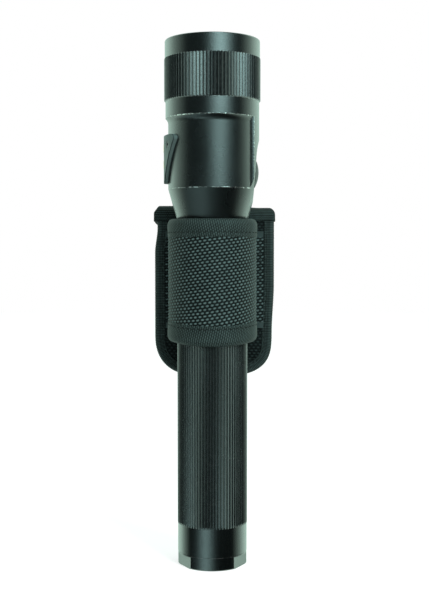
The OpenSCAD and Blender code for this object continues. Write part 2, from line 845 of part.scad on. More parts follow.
// Side profile of the belt loop in the Y-Z plane: lip, roll, strap and sewn foot
module loop_profile() {
    roll_centre = [panel_y + roll_r, z_roll];
    polygon(concat(
        [[panel_y, z_fold], [panel_y + fold_lip_t, z_fold], [panel_y + fold_lip_t, z_roll]],
        arc(roll_centre, roll_r - loop_t, 180, 0, roll_points),
        [
            [loop_y, z_seam_top + foot_rise], [panel_back_y, z_seam_top],
            [panel_back_y, z_foot], [panel_back_y + loop_t, z_foot],
            [panel_back_y + loop_t, z_seam_top - loop_t],
            [loop_back_y - foot_rise, z_seam_top + foot_rise - loop_t],
            [loop_back_y, z_seam_top + 2 * foot_rise - loop_t]
        ],
        arc(roll_centre, roll_r, 0, 180, roll_points)
    ));
}

// Front outline of the belt loop: the strap, and the wider fold with one corner bevelled
module loop_outline() {
    u_outline(loop_w, z_foot, z_fold + over, panel_corner_r + edge_tape_w);
    translate([-fold_w / 2, z_fold]) polygon(concat(
        [[0, 0], [fold_w, 0]],
        arc([fold_w - fold_corner, fold_h - fold_corner], fold_corner, 0, 90, 6),
        [[fold_corner, fold_h], [0, fold_h - fold_corner]]
    ));
}

module belt_loop() {
    color("#2f3332") intersection() {
        slab(panel_y - over, loop_back_y - panel_y + 2 * over) loop_outline();
        translate([panel_shift - far, 0, 0]) rotate([90, 0, 90]) linear_extrude(2 * far) loop_profile();
    }
}

// ---- Drawing ----

tail_cap();
tail_seal();
tail_spring();
tail_contact();
barrel();
battery_cell(0);  // battery_cell_rear
battery_cell(1);  // battery_cell_middle
battery_cell(2);  // battery_cell_front
battery_sleeve();
front_contact();
contact_insulator();
switch_module();
driver_board();
head_housing();
heat_sink();
module_ring();
led_board();
led_emitter();
face_seal();
charge_block();
charge_contacts();
charge_screws();
switch_plunger();
switch_boot();
reflector();
lens();
lens_gasket();
face_cap();
ring_band();
ring_binding_top();
ring_binding_bottom();
holder_panel();
panel_binding();
belt_loop();
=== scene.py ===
"""Finishes and soft goods of a rechargeable aluminium flashlight in its nylon belt holder.

Metres. The origin is the centre of the tail cap's rear face. +Z runs up the light's axis to the
lens, +X is the switch side, -X the charging side, -Y the front of the holder and +Y its back.
"""

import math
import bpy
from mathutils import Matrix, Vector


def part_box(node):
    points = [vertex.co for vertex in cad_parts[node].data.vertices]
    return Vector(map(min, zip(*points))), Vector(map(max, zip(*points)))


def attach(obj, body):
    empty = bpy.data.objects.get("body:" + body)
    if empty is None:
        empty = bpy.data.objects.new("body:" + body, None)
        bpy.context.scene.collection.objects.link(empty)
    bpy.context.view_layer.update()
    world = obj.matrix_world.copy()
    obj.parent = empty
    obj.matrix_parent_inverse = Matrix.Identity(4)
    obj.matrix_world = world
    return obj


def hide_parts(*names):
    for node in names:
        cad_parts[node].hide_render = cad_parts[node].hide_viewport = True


bl_info = {
    "name": "Belt holder flashlight",
    "version": (1, 0, 0),
    "blender": (4, 5, 0),
    "location": "3D View > Sidebar > Flashlight",
    "description": "Finishes a machined flashlight and sews its woven nylon belt holder",
    "category": "Object",
}

import bpy
import numpy as np
from bpy.props import FloatProperty, FloatVectorProperty, PointerProperty
from mathutils import Matrix, Vector

MM = 0.001
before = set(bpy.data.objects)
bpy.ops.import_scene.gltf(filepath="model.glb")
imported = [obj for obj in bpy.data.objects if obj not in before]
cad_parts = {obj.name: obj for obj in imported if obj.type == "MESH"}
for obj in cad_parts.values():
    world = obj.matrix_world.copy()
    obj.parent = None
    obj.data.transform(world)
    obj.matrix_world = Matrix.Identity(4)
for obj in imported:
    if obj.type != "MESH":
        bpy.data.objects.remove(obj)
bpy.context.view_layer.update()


def low(node, axis):
    """Lowest coordinate of a CAD node along axis 0, 1 or 2."""
    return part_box(node)[0][axis]


def high(node, axis):
    """Highest coordinate of a CAD node along axis 0, 1 or 2."""
    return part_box(node)[1][axis]


# ---- The holder's own lines, read from the frame ----

PANEL_FRONT = low("holder_panel", 1)
PANEL_BACK = high("holder_panel", 1)
PANEL_MIDDLE = (low("panel_binding", 0) + high("panel_binding", 0)) / 2
RING_OUT = -low("ring_band", 1)
RING_LOW = low("ring_binding_bottom", 2)
RING_HIGH = high("ring_binding_top", 2)
TOP_TAPE_EDGE = low("ring_binding_top", 2)
BOTTOM_TAPE_EDGE = high("ring_binding_bottom", 2)
FOLD_LOW = high("panel_binding", 2)


def corners_of(node):
    """A CAD node's vertices, and the distance of each from the light's axis."""
    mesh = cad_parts[node].data
    points = np.empty(len(mesh.vertices) * 3)
    mesh.vertices.foreach_get("co", points)
    points = points.reshape(-1, 3)
    return points, np.hypot(points[:, 0], points[:, 1])


def bore_radius(node):
    """Smallest distance of a CAD node's vertices from the light's axis."""
    return float(corners_of(node)[1].min())


def pocket_rims():
    """Heights of the head's lower and upper pocket rims: where its front ends at the cone's widest
    ring, and where the pocket's upper curve meets the band."""
    points, radius = corners_of("head_housing")
    front = (points[:, 1] < 0) & (np.abs(points[:, 0]) < 0.2 * radius)
    height, radius = points[front, 2], radius[front]
    band = height[radius > radius.max() - 0.02 * MM].min()
    cone = height[height < band - 20 * MM]
    return float(cone.max()), float(band)


def flutes_foot():
    """Height at which the barrel's flutes start, above its plain band."""
    points, radius = corners_of("barrel")
    return float(points[radius > radius.max() - 0.02 * MM, 2].min())


TAPE_BORE = bore_radius("ring_binding_top")
RING_IN = bore_radius("ring_band")


# ---- Settings ----


class HolderCloth(bpy.types.PropertyGroup):
    """Sizes of the woven cloth, its tapes and its thread."""

    float_length: FloatProperty(
        name="Float repeat", description="Distance between two floats in one row of the weave",
        default=2.0 * MM, unit="LENGTH", precision=5)
    row_height: FloatProperty(
        name="Row height", description="Height of one row of the weave",
        default=1.25 * MM, unit="LENGTH", precision=5)
    weave_depth: FloatProperty(
        name="Weave depth", description="Height of the floats over the gaps between the yarns",
        default=0.42 * MM, unit="LENGTH", precision=5)
    slant: FloatProperty(
        name="Slant", description="Angle at which the rows climb round the ring",
        default=math.radians(8), subtype="ANGLE")
    cell: FloatProperty(
        name="Cell size", description="Size of the cells that carry the weave's relief",
        default=0.235 * MM, unit="LENGTH", precision=6)
    rib_pitch: FloatProperty(
        name="Rib pitch", description="Distance between two ribs of the binding tape",
        default=0.73 * MM, unit="LENGTH", precision=5)
    rib_depth: FloatProperty(
        name="Rib depth", description="Height of the binding tape's ribs",
        default=0.1 * MM, unit="LENGTH", precision=5)
    tape_thickness: FloatProperty(
        name="Tape thickness", description="Thickness of the binding tape",
        default=0.45 * MM, unit="LENGTH", precision=5)
    stitch_pitch: FloatProperty(
        name="Stitch pitch", description="Distance between two stitches",
        default=2.6 * MM, unit="LENGTH", precision=5)
    thread_radius: FloatProperty(
        name="Thread radius", description="Radius of the sewing thread",
        default=0.2 * MM, unit="LENGTH", precision=5)


class FlashlightColours(bpy.types.PropertyGroup):
    """Colours of the finishes, as linear light."""

    anodise: FloatVectorProperty(
        name="Anodise", description="Black anodised aluminium", subtype="COLOR",
        default=(0.0028, 0.0036, 0.0036))
    bare_metal: FloatVectorProperty(
        name="Bare metal", description="Aluminium where the anodising has worn thin", subtype="COLOR",
        default=(0.55, 0.58, 0.56))
    # The nylon colour is set light: the floats' full colour also carries a painted sheen.
    nylon: FloatVectorProperty(
        name="Nylon", description="Cloth of the belt holder", subtype="COLOR",
        default=(0.1085, 0.1705, 0.1659))
    tape: FloatVectorProperty(
        name="Tape", description="Binding tape and webbing", subtype="COLOR",
        default=(0.048, 0.074, 0.070))
    thread: FloatVectorProperty(
        name="Thread", description="Sewing thread", subtype="COLOR",
        default=(0.014, 0.02, 0.019))


class StudioSettings(bpy.types.PropertyGroup):
    """Camera, lamps and backdrop."""

    camera_distance: FloatProperty(
        name="Camera distance", description="Distance from the camera to the light's axis",
        default=0.4424, unit="LENGTH")
    camera_height: FloatProperty(
        name="Camera height", description="Height of the camera above the tail", default=0.1294,
        unit="LENGTH")
    camera_offset: FloatProperty(
        name="Camera offset", description="Distance of the camera to the right of the axis",
        default=0.9 * MM, unit="LENGTH", precision=5)
    camera_pitch: FloatProperty(
        name="Camera pitch", description="Angle by which the camera looks down",
        default=math.radians(2.4), subtype="ANGLE")
    camera_lens: FloatProperty(
        name="Lens", description="Focal length", default=63.4, unit="CAMERA")
    lamp_power: FloatProperty(
        name="Lamp power", description="Power of each of the two soft lamps in watts", default=1.0)


# ---- Surfaces ----


def make_surface(name, points, uv, material, relief):
    """A surface through the array points[row, column], with quads between neighbours.

    Each row is a closed section, and the rows follow one another along an open line, with a face
    at each end. uv is in metres and has one more column than points. Quads are turned round if the
    shape they bound is inside out. relief is kept as an attribute, which the cloth's finish reads
    as painted shade in the gaps and painted light on the raised yarns.
    """
    rows, columns = points.shape[:2]
    i, j = np.meshgrid(np.arange(rows - 1), np.arange(columns), indexing="ij")
    corners = [(i, j), (i + 1, j), (i + 1, j + 1), (i, j + 1)]
    quads = np.stack([a * columns + b % columns for a, b in corners], -1).reshape(-1, 4)
    quad_uv = np.stack([uv[a, b] for a, b in corners], -2).reshape(-1, 4, 2)
    flat = points.reshape(-1, 3)
    a, b, c, d = (flat[quads[:, k]] for k in range(4))
    volume = (a * np.cross(b, c)).sum() + (a * np.cross(c, d)).sum()
    ring = np.arange(columns)
    ends = [ring, ((rows - 1) * columns + ring)[::-1]]
    if volume < 0:
        quads, quad_uv = quads[:, ::-1], quad_uv[:, ::-1]
        ends = [end[::-1] for end in ends]
    loops = np.concatenate([quads.ravel()] + ends)
    totals = np.concatenate([np.full(len(quads), 4), [len(end) for end in ends]]).astype(np.int32)
    starts = np.concatenate([[0], np.cumsum(totals)[:-1]]).astype(np.int32)
    end_uv = [uv[:, :columns].reshape(-1, 2)[end] for end in ends]
    loop_uv = np.concatenate([quad_uv.reshape(-1, 2)] + end_uv)

    mesh = bpy.data.meshes.new(name)
    mesh.vertices.add(len(flat))
    mesh.vertices.foreach_set("co", flat.ravel())
    mesh.loops.add(len(loops))
    mesh.loops.foreach_set("vertex_index", loops.astype(np.int32))
    mesh.polygons.add(len(totals))
    mesh.polygons.foreach_set("loop_start", starts)
    mesh.polygons.foreach_set("loop_total", totals)
    mesh.polygons.foreach_set("use_smooth", np.arange(len(totals)) < len(quads))
    mesh.uv_layers.new(name="cloth").data.foreach_set("uv", loop_uv.ravel())
    mesh.attributes.new("relief", "FLOAT", "POINT").data.foreach_set("value", relief.ravel())
    mesh.update(calc_edges=True)
    mesh.validate()
    mesh.materials.append(material)
    piece = bpy.data.objects.new(name, mesh)
    bpy.context.scene.collection.objects.link(piece)
    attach(piece, "holder")
    return piece


def lengths(points, closed=False):
    """Distance travelled along a line of points, from 0 at the first."""
    if closed:
        points = np.concatenate([points, points[:1]])
    steps = np.linalg.norm(np.diff(points, axis=0), axis=1)
    return np.concatenate([[0], np.cumsum(steps)])


def section_normals(section):
    """Unit normals of a closed section, each square to the line between its neighbours, outwards."""
    along = np.roll(section, -1, 0) - np.roll(section, 1, 0)
    normals = np.stack([along[:, 1], -along[:, 0]], -1)
    x, y = section[:, 0], section[:, 1]
    area = (x * np.roll(y, -1) - np.roll(x, -1) * y).sum()
    return np.sign(area) * normals / np.linalg.norm(normals, axis=1, keepdims=True)


def sweep(origin, across, out, section, relief):
    """Points of a closed section carried along a line.

    Each station has an origin and two directions. A section point (a, b) lies a along across and
    b along out, and then moves along the section's normal by relief[station, point].
    """
    normals = section_normals(section)
    a = section[:, 0] + relief * normals[:, 0]
    b = section[:, 1] + relief * normals[:, 1]
    return origin[:, None] + across[:, None] * a[..., None] + out[:, None] * b[..., None]


def swept_uv(stations, section):
    """Metre coordinates for a swept section: along the line, and round the section."""
    u, v = np.meshgrid(stations, lengths(section, closed=True), indexing="ij")
    return np.stack([u, v], -1)


def weave(along, up, float_length, row_height):
    """Height, 0 to 1, of a plain weave at a distance along and up the cloth.

    Each yarn's middle follows a cosine over and under the yarns that it crosses, half a turn apart
    from row to row. Its cross-section is half an ellipse, which leaves a gap between the rows, and
    the higher of the two yarns shows.
    """
    a, b = along / (float_length / 2), up / row_height
    warp, weft = np.floor(a), np.floor(b)
    weft_middle = (0.5 + 0.5 * np.cos(np.pi * (a - 0.5 + weft))) ** 0.42
    warp_middle = 0.5 - 0.5 * np.cos(np.pi * (b - 0.5 + warp))
    weft_side = np.sqrt(np.clip(1 - (2.75 * (b - weft - 0.5)) ** 2, 0, 1))
    warp_side = np.sqrt(np.clip(1 - (2 * (a - warp) - 1) ** 2, 0, 1))
    weft_height = weft_middle * (0.35 + 0.65 * weft_side) * (weft_side > 0)
    return np.maximum(weft_height, 0.42 * warp_middle * warp_side)


def ribs(along, pitch):
    """Height, 0 to 1, of round ribs side by side: the size of a sine, with narrow valleys."""
    return np.abs(np.sin(np.pi * along / pitch)) ** 0.7


def knots(along, across, pitch):
    """Height, 0 to 1, of ribs made of short loops, half a loop apart from rib to rib."""
    rib = np.floor(along / pitch)
    loop = np.abs(np.sin(np.pi * (across / (1.3 * pitch) + 0.5 * rib)))
    return ribs(along, pitch) * (0.45 + 0.55 * loop)


def smooth_step(x, start, end):
    """0 before start, 1 after end, and an S-curve between them."""
    t = np.clip((x - start) / (end - start), 0, 1)
    return t * t * (3 - 2 * t)


# ---- Stitches ----


def stitches(name, middles, along, out, material, length):
    """Round threads, each lying along one direction and bowed out along another.

    Seven rings of six points: the radius follows half an ellipse along the thread, and the middle
    line is a parabola whose two ends dip into the cloth.
    """
    radius = bpy.context.scene.holder_cloth.thread_radius
    t = np.linspace(-1, 1, 7)
    angle = np.linspace(0, 2 * np.pi, 6, endpoint=False)
    thickness = radius * np.sqrt(np.clip(1.02 - t ** 2, 0.02, 1))
    bow = radius * (0.7 - 1.9 * t ** 2)
    side = np.cross(along, out)
    place = (
        middles[:, None, None]
        + along[:, None, None] * (t * length / 2)[None, :, None, None]
        + out[:, None, None] * (bow[:, None] + thickness[:, None] * np.sin(angle))[None, ..., None]
        + side[:, None, None] * (thickness[:, None] * np.cos(angle))[None, ..., None]
    )
    count, rings, sides = place.shape[:3]
    i, j = np.meshgrid(np.arange(rings - 1), np.arange(sides), indexing="ij")
    k = (j + 1) % sides
    quads = np.stack([i * sides + j, i * sides + k, (i + 1) * sides + k, (i + 1) * sides + j], -1)
    quads = quads.reshape(-1, 4)
    starts = np.arange(count)[:, None, None] * rings * sides
    quads = (quads[None] + starts).reshape(-1, 4)
    first = (np.arange(sides)[::-1][None] + starts[:, 0]).tolist()
    last = ((rings - 1) * sides + np.arange(sides)[None] + starts[:, 0]).tolist()
    mesh = bpy.data.meshes.new(name)
    mesh.from_pydata(place.reshape(-1, 3).tolist(), [], quads.tolist() + first + last)
    mesh.polygons.foreach_set("use_smooth", np.ones(len(mesh.polygons), bool))
    mesh.update()
    mesh.materials.append(material)
    piece = bpy.data.objects.new(name, mesh)
    bpy.context.scene.collection.objects.link(piece)
    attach(piece, "holder")
    return piece


def spaced(total, pitch):
    """Middles of the stitches that fit along a line of a given length, evenly spread."""
    count = int(total / pitch)
    return (np.arange(count) + 0.5) * total / count


# ---- Holder ring ----


def ring_line(step):
    """Stations round the ring between its two ends at the panel: a straight leg back on each side
    and a half circle in front. Returns the middle that the radius is measured from, the outward
    direction and the distance travelled on the ring's outside."""
    leg = np.linspace(PANEL_FRONT, 0, int(PANEL_FRONT / step) + 1)
    turn = np.linspace(np.pi, 2 * np.pi, int(np.pi * RING_OUT / step) + 1)[1:-1]
    nought = np.zeros_like
    middle = np.concatenate([
        np.stack([nought(leg), leg, nought(leg)], -1),
        np.zeros((len(turn), 3)),
        np.stack([nought(leg), leg[::-1], nought(leg)], -1),
    ])
    outward = np.concatenate([
        np.tile([-1.0, 0, 0], (len(leg), 1)),
        np.stack([np.cos(turn), np.sin(turn), nought(turn)], -1),
        np.tile([1.0, 0, 0], (len(leg), 1)),
    ])
    return middle, outward, lengths(middle + RING_OUT * outward)


def droop(outward, share):
    """How far the ring's lower edge hangs: down in front, up a little at the sides. share is 1 at
    that edge and 0 where the cloth isn't moved."""
    front = np.clip(-outward[:, 1], 0, 1)
    return (0.6 - 1.3 * front ** 2)[:, None] * MM * share


def wall_line(step):
    """Stations along the ring's wall with its two sewn flanges, seen from above.

    Flange, quarter-circle fillet, straight leg, half circle, and the same back on the other side.
    Returns points on the outside, the points opposite them on the inside, outward directions and
    the distance travelled on the outside.
    """
    fillet = 1.0 * MM
    flange_face = PANEL_FRONT - 1.0 * MM
    ends = (low("ring_band", 0), high("ring_band", 0))
    corner_x, corner_y = RING_OUT + fillet, flange_face - fillet

    def half(side, edge):
        """One side's flange, fillet and leg: its outside, its inside and its outward directions."""
        run = np.linspace(0, 1, int((abs(edge) - corner_x) / step) + 2)[:-1]
        flange_x = edge + (side * corner_x - edge) * run
        turn = np.linspace(np.pi / 2, 0, 8)[:-1]
        leg = np.linspace(0, 1, int(corner_y / step) + 2)
        outside = np.concatenate([
            np.stack([flange_x, np.full_like(run, flange_face)], -1),
            np.stack([side * (corner_x - fillet * np.cos(turn)), corner_y + fillet * np.sin(turn)], -1),
            np.stack([np.full_like(leg, side * RING_OUT), corner_y * (1 - leg)], -1),
        ])
        share = np.linspace(0, 1, len(turn), endpoint=False)
        corner_in = side * (corner_x + (RING_IN - corner_x) * share)
        inside = np.concatenate([
            np.stack([flange_x, np.full_like(run, PANEL_FRONT)], -1),
            np.stack([corner_in, np.full_like(share, PANEL_FRONT)], -1),
            np.stack([np.full_like(leg, side * RING_IN), PANEL_FRONT * (1 - leg)], -1),
        ])
        outward = np.concatenate([
            np.tile([0.0, -1.0], (len(run), 1)),
            np.stack([side * np.cos(turn), -np.sin(turn)], -1),
            np.tile([side * 1.0, 0.0], (len(leg), 1)),
        ])
        return outside, inside, outward

    left, right = half(-1, ends[0]), half(1, ends[1])
    turn = np.linspace(np.pi, 2 * np.pi, int(np.pi * RING_OUT / step) + 1)[1:-1]
    circle = np.stack([np.cos(turn), np.sin(turn)], -1)
    round_part = (RING_OUT * circle, RING_IN * circle, circle)
    flat = [np.concatenate([a, b, c[::-1]]) for a, b, c in zip(left, round_part, right)]
    outside, inside, outward = (np.pad(part, ((0, 0), (0, 1))) for part in flat)
    return outside, inside, outward, lengths(outside)


def make_ring_wall(material):
    """The padded wall of the ring, woven outside and lined inside.

    The section's outside runs up between the tapes and its inside runs back down. Outside, the
    height of the weave moves each point out, and fades where the tapes press it flat.
    """
    cloth = bpy.context.scene.holder_cloth
    outside, inside, outward, travelled = wall_line(cloth.cell)
    tucked = 3.0 * MM
    low_z, high_z = BOTTOM_TAPE_EDGE - tucked, TOP_TAPE_EDGE + tucked
    up = np.linspace(low_z, high_z, int((high_z - low_z) / cloth.cell))
    down = np.linspace(high_z, low_z, 24)
    z = np.concatenate([up, down])
    depth = np.concatenate([np.zeros_like(up), np.ones_like(down)])
    points = outside[:, None] + (inside - outside)[:, None] * depth[None, :, None]
    points = points + z[None, :, None] * np.array([0, 0, 1.0])

    rise = math.tan(cloth.slant)
    height = weave(travelled[:, None], z[None] - travelled[:, None] * rise,
                   cloth.float_length, cloth.row_height)
    margin = 0.8 * MM
    free = smooth_step(z, BOTTOM_TAPE_EDGE - margin, BOTTOM_TAPE_EDGE + 0.3 * MM)
    free = free * (1 - smooth_step(z, TOP_TAPE_EDGE - 0.3 * MM, TOP_TAPE_EDGE + margin))
    free = free * (1 - depth)
    pressed = -0.3 * MM * (1 - free) * (1 - depth)
    relief = cloth.weave_depth * (height - 0.75) * free + pressed
    points = points + relief[..., None] * outward[:, None]
    share = 1 - smooth_step(z, BOTTOM_TAPE_EDGE, BOTTOM_TAPE_EDGE + 14 * MM)
    points[..., 2] += droop(outward, share[None])
    uv = np.stack(np.meshgrid(travelled, lengths(np.stack([z, depth * 3 * MM], -1), True),
                              indexing="ij"), -1)
    # Painted light and shade: the weave's height, which the cloth finish turns into lit floats and dark
    # gaps.
    shade = np.where(depth[None] > 0.5, 0.6, height * free + 0.6 * (1 - free))
    piece = make_surface("ring_wall", points, uv, material, relief=shade)
    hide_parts("ring_band")
    return piece


def tape_section(edge, tip, outer, bulge, notch, thickness):
    """Closed C-shaped section of a tape rolled over the ring's edge, as (radius, height).

    edge and tip are the heights of the tape's edge and of the roll's top, which may lie below it.
    Outside, a small swell, the stitched notch and a large swell lead to the roll, which is half
    an ellipse raised to a power, and the inside leg runs back. The inner line is the same,
    set in by the tape's thickness.
    """
    way = 1 if tip > edge else -1
    roll = 2.9 * MM
    shoulder = tip - way * roll
    small = np.linspace(0, 1, 9)
    large = np.linspace(0, 1, 14)[1:-1]
    z_small = edge + (notch - edge) * small
    r_small = outer + bulge * (0.25 + 0.55 * np.sin(np.pi * np.clip(small, 0, 0.93)))
    z_large = notch + (shoulder - notch) * large
    r_large = outer + bulge * (0.35 + 0.65 * np.sin(np.pi / 2 * large) ** 0.6)
    top = outer + bulge
    middle, half = (top + TAPE_BORE) / 2, (top - TAPE_BORE) / 2
    turn = np.linspace(0, np.pi, 19)
    r_roll = middle + half * np.sign(np.cos(turn)) * np.abs(np.cos(turn)) ** 0.95
    z_roll = shoulder + way * roll * np.sin(turn) ** 0.95
    z_leg = np.linspace(shoulder, edge, 8)[1:]
    line = np.concatenate([
        np.stack([r_small, z_small], -1),
        np.stack([r_large, z_large], -1),
        np.stack([r_roll, z_roll], -1),
        np.stack([np.full_like(z_leg, TAPE_BORE), z_leg], -1),
    ])
    along = np.gradient(line, axis=0)
    side = np.stack([-along[:, 1], along[:, 0]], -1) * way
    side = side / np.linalg.norm(side, axis=1, keepdims=True)
    inner = (line + thickness * side)[::-1]
    return line, np.concatenate([line, inner])


def make_ring_tape(name, node, edge, tip, notch, bulge, material):
    """One rolled tape round the ring: a C section carried along the ring, ribbed across."""
    cloth = bpy.context.scene.holder_cloth
    middle, outward, travelled = ring_line(cloth.rib_pitch / 6)
    line, section = tape_section(edge, tip, RING_OUT, bulge, notch, cloth.tape_thickness)
    shown = np.concatenate([np.ones(len(line)), np.zeros(len(line))])
    round_it = lengths(section)
    lean = 0.22 * round_it
    height = knots(travelled[:, None] + lean[None], round_it[None], 1.25 * cloth.rib_pitch)
    relief = cloth.rib_depth * (height - 0.6) * shown[None]
    up = np.tile([0, 0, 1.0], (len(middle), 1))
    points = sweep(middle, outward, up, section, relief)
    if tip < edge:
        points[..., 2] += droop(outward, np.ones((1, len(section))))
    # Painted light and shade: the ribs' height, which the cloth finish turns into lit ribs and dark
    # valleys.
    shade = 0.2 + 0.8 * height
    piece = make_surface(name, points, swept_uv(travelled, section), material,
                         relief=shade * shown[None] + 0.5 * (1 - shown[None]))
    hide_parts(node)
    return piece


def make_ring_stitches(name, height, radius, material):
    """A line of stitches round the ring at one height."""
    cloth = bpy.context.scene.holder_cloth
    middle, outward, travelled = ring_line(0.5 * MM)
    places = spaced(travelled[-1], cloth.stitch_pitch)
    at = np.stack([np.interp(places, travelled, middle[:, k]) for k in range(3)], -1)
    out = np.stack([np.interp(places, travelled, outward[:, k]) for k in range(3)], -1)
    out = out / np.linalg.norm(out, axis=1, keepdims=True)
    at = at + out * radius + np.array([0, 0, height])
    if height < (RING_LOW + RING_HIGH) / 2:
        at[:, 2] += droop(out, np.ones(1))[:, 0]
    along = np.cross(np.array([0, 0, 1.0]), out)
    return stitches(name, at, along, out, material, 0.8 * cloth.stitch_pitch)


# ---- Holder panel ----

PANEL_LOW = low("panel_binding", 2)
PANEL_HALF = (high("panel_binding", 0) - low("panel_binding", 0)) / 2
PANEL_CORNER = 17.4 * MM
CORNER_POWER = 2.3
EDGE_TAPE = 4.4 * MM
LIP = 1.2 * MM


def side_shift(side, z):
    """How far the panel's sides are drawn in at a height: the left one just under the fold, and the
    right one over its lower third. side is -1 to 1 across the panel."""
    pinch = 1.1 * MM * (1 - smooth_step(FOLD_LOW - z, 4 * MM, 15 * MM))
    taper = smooth_step(PANEL_LOW + 40 * MM - z, 0, 22 * MM)
    taper = 0.9 * MM * taper * smooth_step(z - PANEL_LOW, 3 * MM, 16 * MM)
    return pinch * np.clip(-side, 0, 1) - taper * np.clip(side, 0, 1)


def panel_edge(step):
    """Stations down the panel's left edge, round its lower corners and up its right edge.

    Returns points on the outer edge, the inward direction and the distance travelled.
    """
    top, turn_z = FOLD_LOW - LIP, PANEL_LOW + PANEL_CORNER
    turn_x = PANEL_HALF - PANEL_CORNER
    side = np.linspace(top, turn_z, int((top - turn_z) / step))
    angle = np.linspace(np.pi, 1.5 * np.pi, int(PANEL_CORNER * np.pi / 2 / step))[1:]
    foot = np.linspace(-turn_x, turn_x, int(2 * turn_x / step))[1:-1]

    def row(x, z, inward_x, inward_z):
        """Stations with their two coordinates and the two parts of the inward direction."""
        parts = np.broadcast_arrays(x, z, inward_x, inward_z)
        return np.stack(parts, -1)

    power = 2 / CORNER_POWER
    cos, sin = np.abs(np.cos(angle)), np.abs(np.sin(angle))
    left = row(-PANEL_HALF, side, 1.0, 0.0)
    corner = row(-turn_x - PANEL_CORNER * cos ** power, turn_z - PANEL_CORNER * sin ** power, cos, sin)
    flat = row(foot, PANEL_LOW, 0.0, 1.0)
    start = np.concatenate([left, corner])
    mirrored = start[::-1] * np.array([-1, 1, -1, 1])
    line = np.concatenate([start, flat, mirrored])
    nought = np.zeros(len(line))
    shift = side_shift(line[:, 0] / PANEL_HALF, line[:, 1])
    edge = np.stack([line[:, 0] + PANEL_MIDDLE + shift, nought, line[:, 1]], -1)
    inward = np.stack([line[:, 2], nought, line[:, 3]], -1)
    return edge, inward, lengths(edge)


def edge_tape_section(thickness):
    """Closed C-shaped section of the tape folded round the panel's edge, as (inward, depth).

    Depth is measured to the front from the panel's middle. Each leg swells and has a notch at
    its stitches, and the fold between them is half an ellipse raised to a power.
    """
    half = (PANEL_BACK - PANEL_FRONT) / 2 + 0.42 * MM
    fold = 1.5 * MM
    leg = np.linspace(1, 0, 13)[:-1]
    inward = fold + (EDGE_TAPE - fold) * leg
    notch = np.exp(-((inward - 3.45 * MM) / (0.3 * MM)) ** 2)
    depth = half * (1.0 - 0.16 * leg ** 4) - 0.32 * MM * notch
    turn = np.linspace(np.pi / 2, -np.pi / 2, 15)
    round_in = fold - fold * np.abs(np.cos(turn)) ** 0.85
    round_deep = half * np.sign(np.sin(turn)) * np.abs(np.sin(turn)) ** 0.85
    line = np.concatenate([
        np.stack([inward, depth], -1),
        np.stack([round_in, round_deep], -1),
        np.stack([inward, -depth], -1)[::-1],
    ])
    along = np.gradient(line, axis=0)
    side = np.stack([-along[:, 1], along[:, 0]], -1)
    side = side / np.linalg.norm(side, axis=1, keepdims=True)
    inner = line + thickness * side
    if inner[len(line) // 2, 0] < line[len(line) // 2, 0]:
        inner = line - thickness * side
    return line, np.concatenate([line, inner[::-1]])


def make_panel_tape(material):
    """The tape folded round the panel's edge, ribbed square to the edge."""
    cloth = bpy.context.scene.holder_cloth
    edge, inward, travelled = panel_edge(cloth.rib_pitch / 6)
    line, section = edge_tape_section(cloth.tape_thickness)
    shown = np.concatenate([np.ones(len(line)), np.zeros(len(line))])
    column = 0.62 + 0.38 * np.abs(np.sin(np.pi * (lengths(section)[None] / (2.3 * MM))))
    height = ribs(travelled[:, None] + 0 * section[None, :, 0], cloth.rib_pitch) * column
    relief = cloth.rib_depth * 1.6 * (height - 0.6) * shown[None]
    origin = edge + np.array([0, (PANEL_FRONT + PANEL_BACK) / 2, 0])
    front = np.tile([0, -1.0, 0], (len(edge), 1))
    points = sweep(origin, inward, front, section, relief)
    # Painted light and shade: the ribs' height, which the cloth finish turns into lit ribs and dark
    # valleys.
    shade = (0.15 + 0.85 * height) * shown[None] + 0.5 * (1 - shown[None])
    piece = make_surface("panel_tape", points, swept_uv(travelled, section), material,
                         relief=shade)
    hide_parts("panel_binding")
    return piece


def make_panel_cloth(material):
    """The padded panel: a woven front and a plain back, with round lower corners.

    Each row is a closed line across the front and back again. Its half width follows the
    corners, quarters of a circle drawn out a little towards a square, and the cloth thins towards
    its sides, under the tape.
    """
    cloth = bpy.context.scene.holder_cloth
    inset = 0.8 * MM
    half, corner, foot = PANEL_HALF - inset, PANEL_CORNER - inset, PANEL_LOW + inset
    top = high("holder_panel", 2) - 0.1 * MM
    z = np.linspace(foot, top, int((top - foot) / (cloth.cell * 1.35)))
    drop = np.clip(foot + corner - z, 0, corner)
    width = half - corner + corner * (1 - (drop / corner) ** CORNER_POWER) ** (1 / CORNER_POWER)
    front = np.linspace(-1, 1, int(2 * half / (cloth.cell * 1.35)))
    back = np.linspace(1, -1, 40)[1:-1]
    across = np.concatenate([front, back])
    is_front = np.concatenate([np.ones_like(front), np.zeros_like(back)])
    x = across[None] * width[:, None]
    middle_y = (PANEL_FRONT + PANEL_BACK) / 2
    half_thick = (PANEL_BACK - PANEL_FRONT) / 2
    to_side = (width[:, None] - np.abs(x)) / MM
    thick = half_thick * (0.55 + 0.45 * smooth_step(to_side, 0.2, 3.2))
    height = weave(x, z[:, None] + 0 * x, cloth.float_length, cloth.row_height)
    free = smooth_step(to_side, 3.0, 4.0) * is_front[None]
    relief = cloth.weave_depth * 0.8 * (height - 0.9) * free
    y = middle_y - np.where(is_front[None] > 0, thick + relief, -thick)
    shift = side_shift(x / half, z[:, None])
    points = np.stack([x + PANEL_MIDDLE + shift, y, z[:, None] + 0 * x], -1)
    u = np.concatenate([x, x[:, :1]], 1)
    uv = np.stack([u, np.repeat(z[:, None], u.shape[1], 1)], -1)
    # Painted light and shade: the weave's height, which the cloth finish turns into lit floats and dark
    # gaps.
    shade = height * free + 0.55 * (1 - free)
    piece = make_surface("panel_cloth", points, uv, material, relief=shade)
    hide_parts("holder_panel")
    return piece


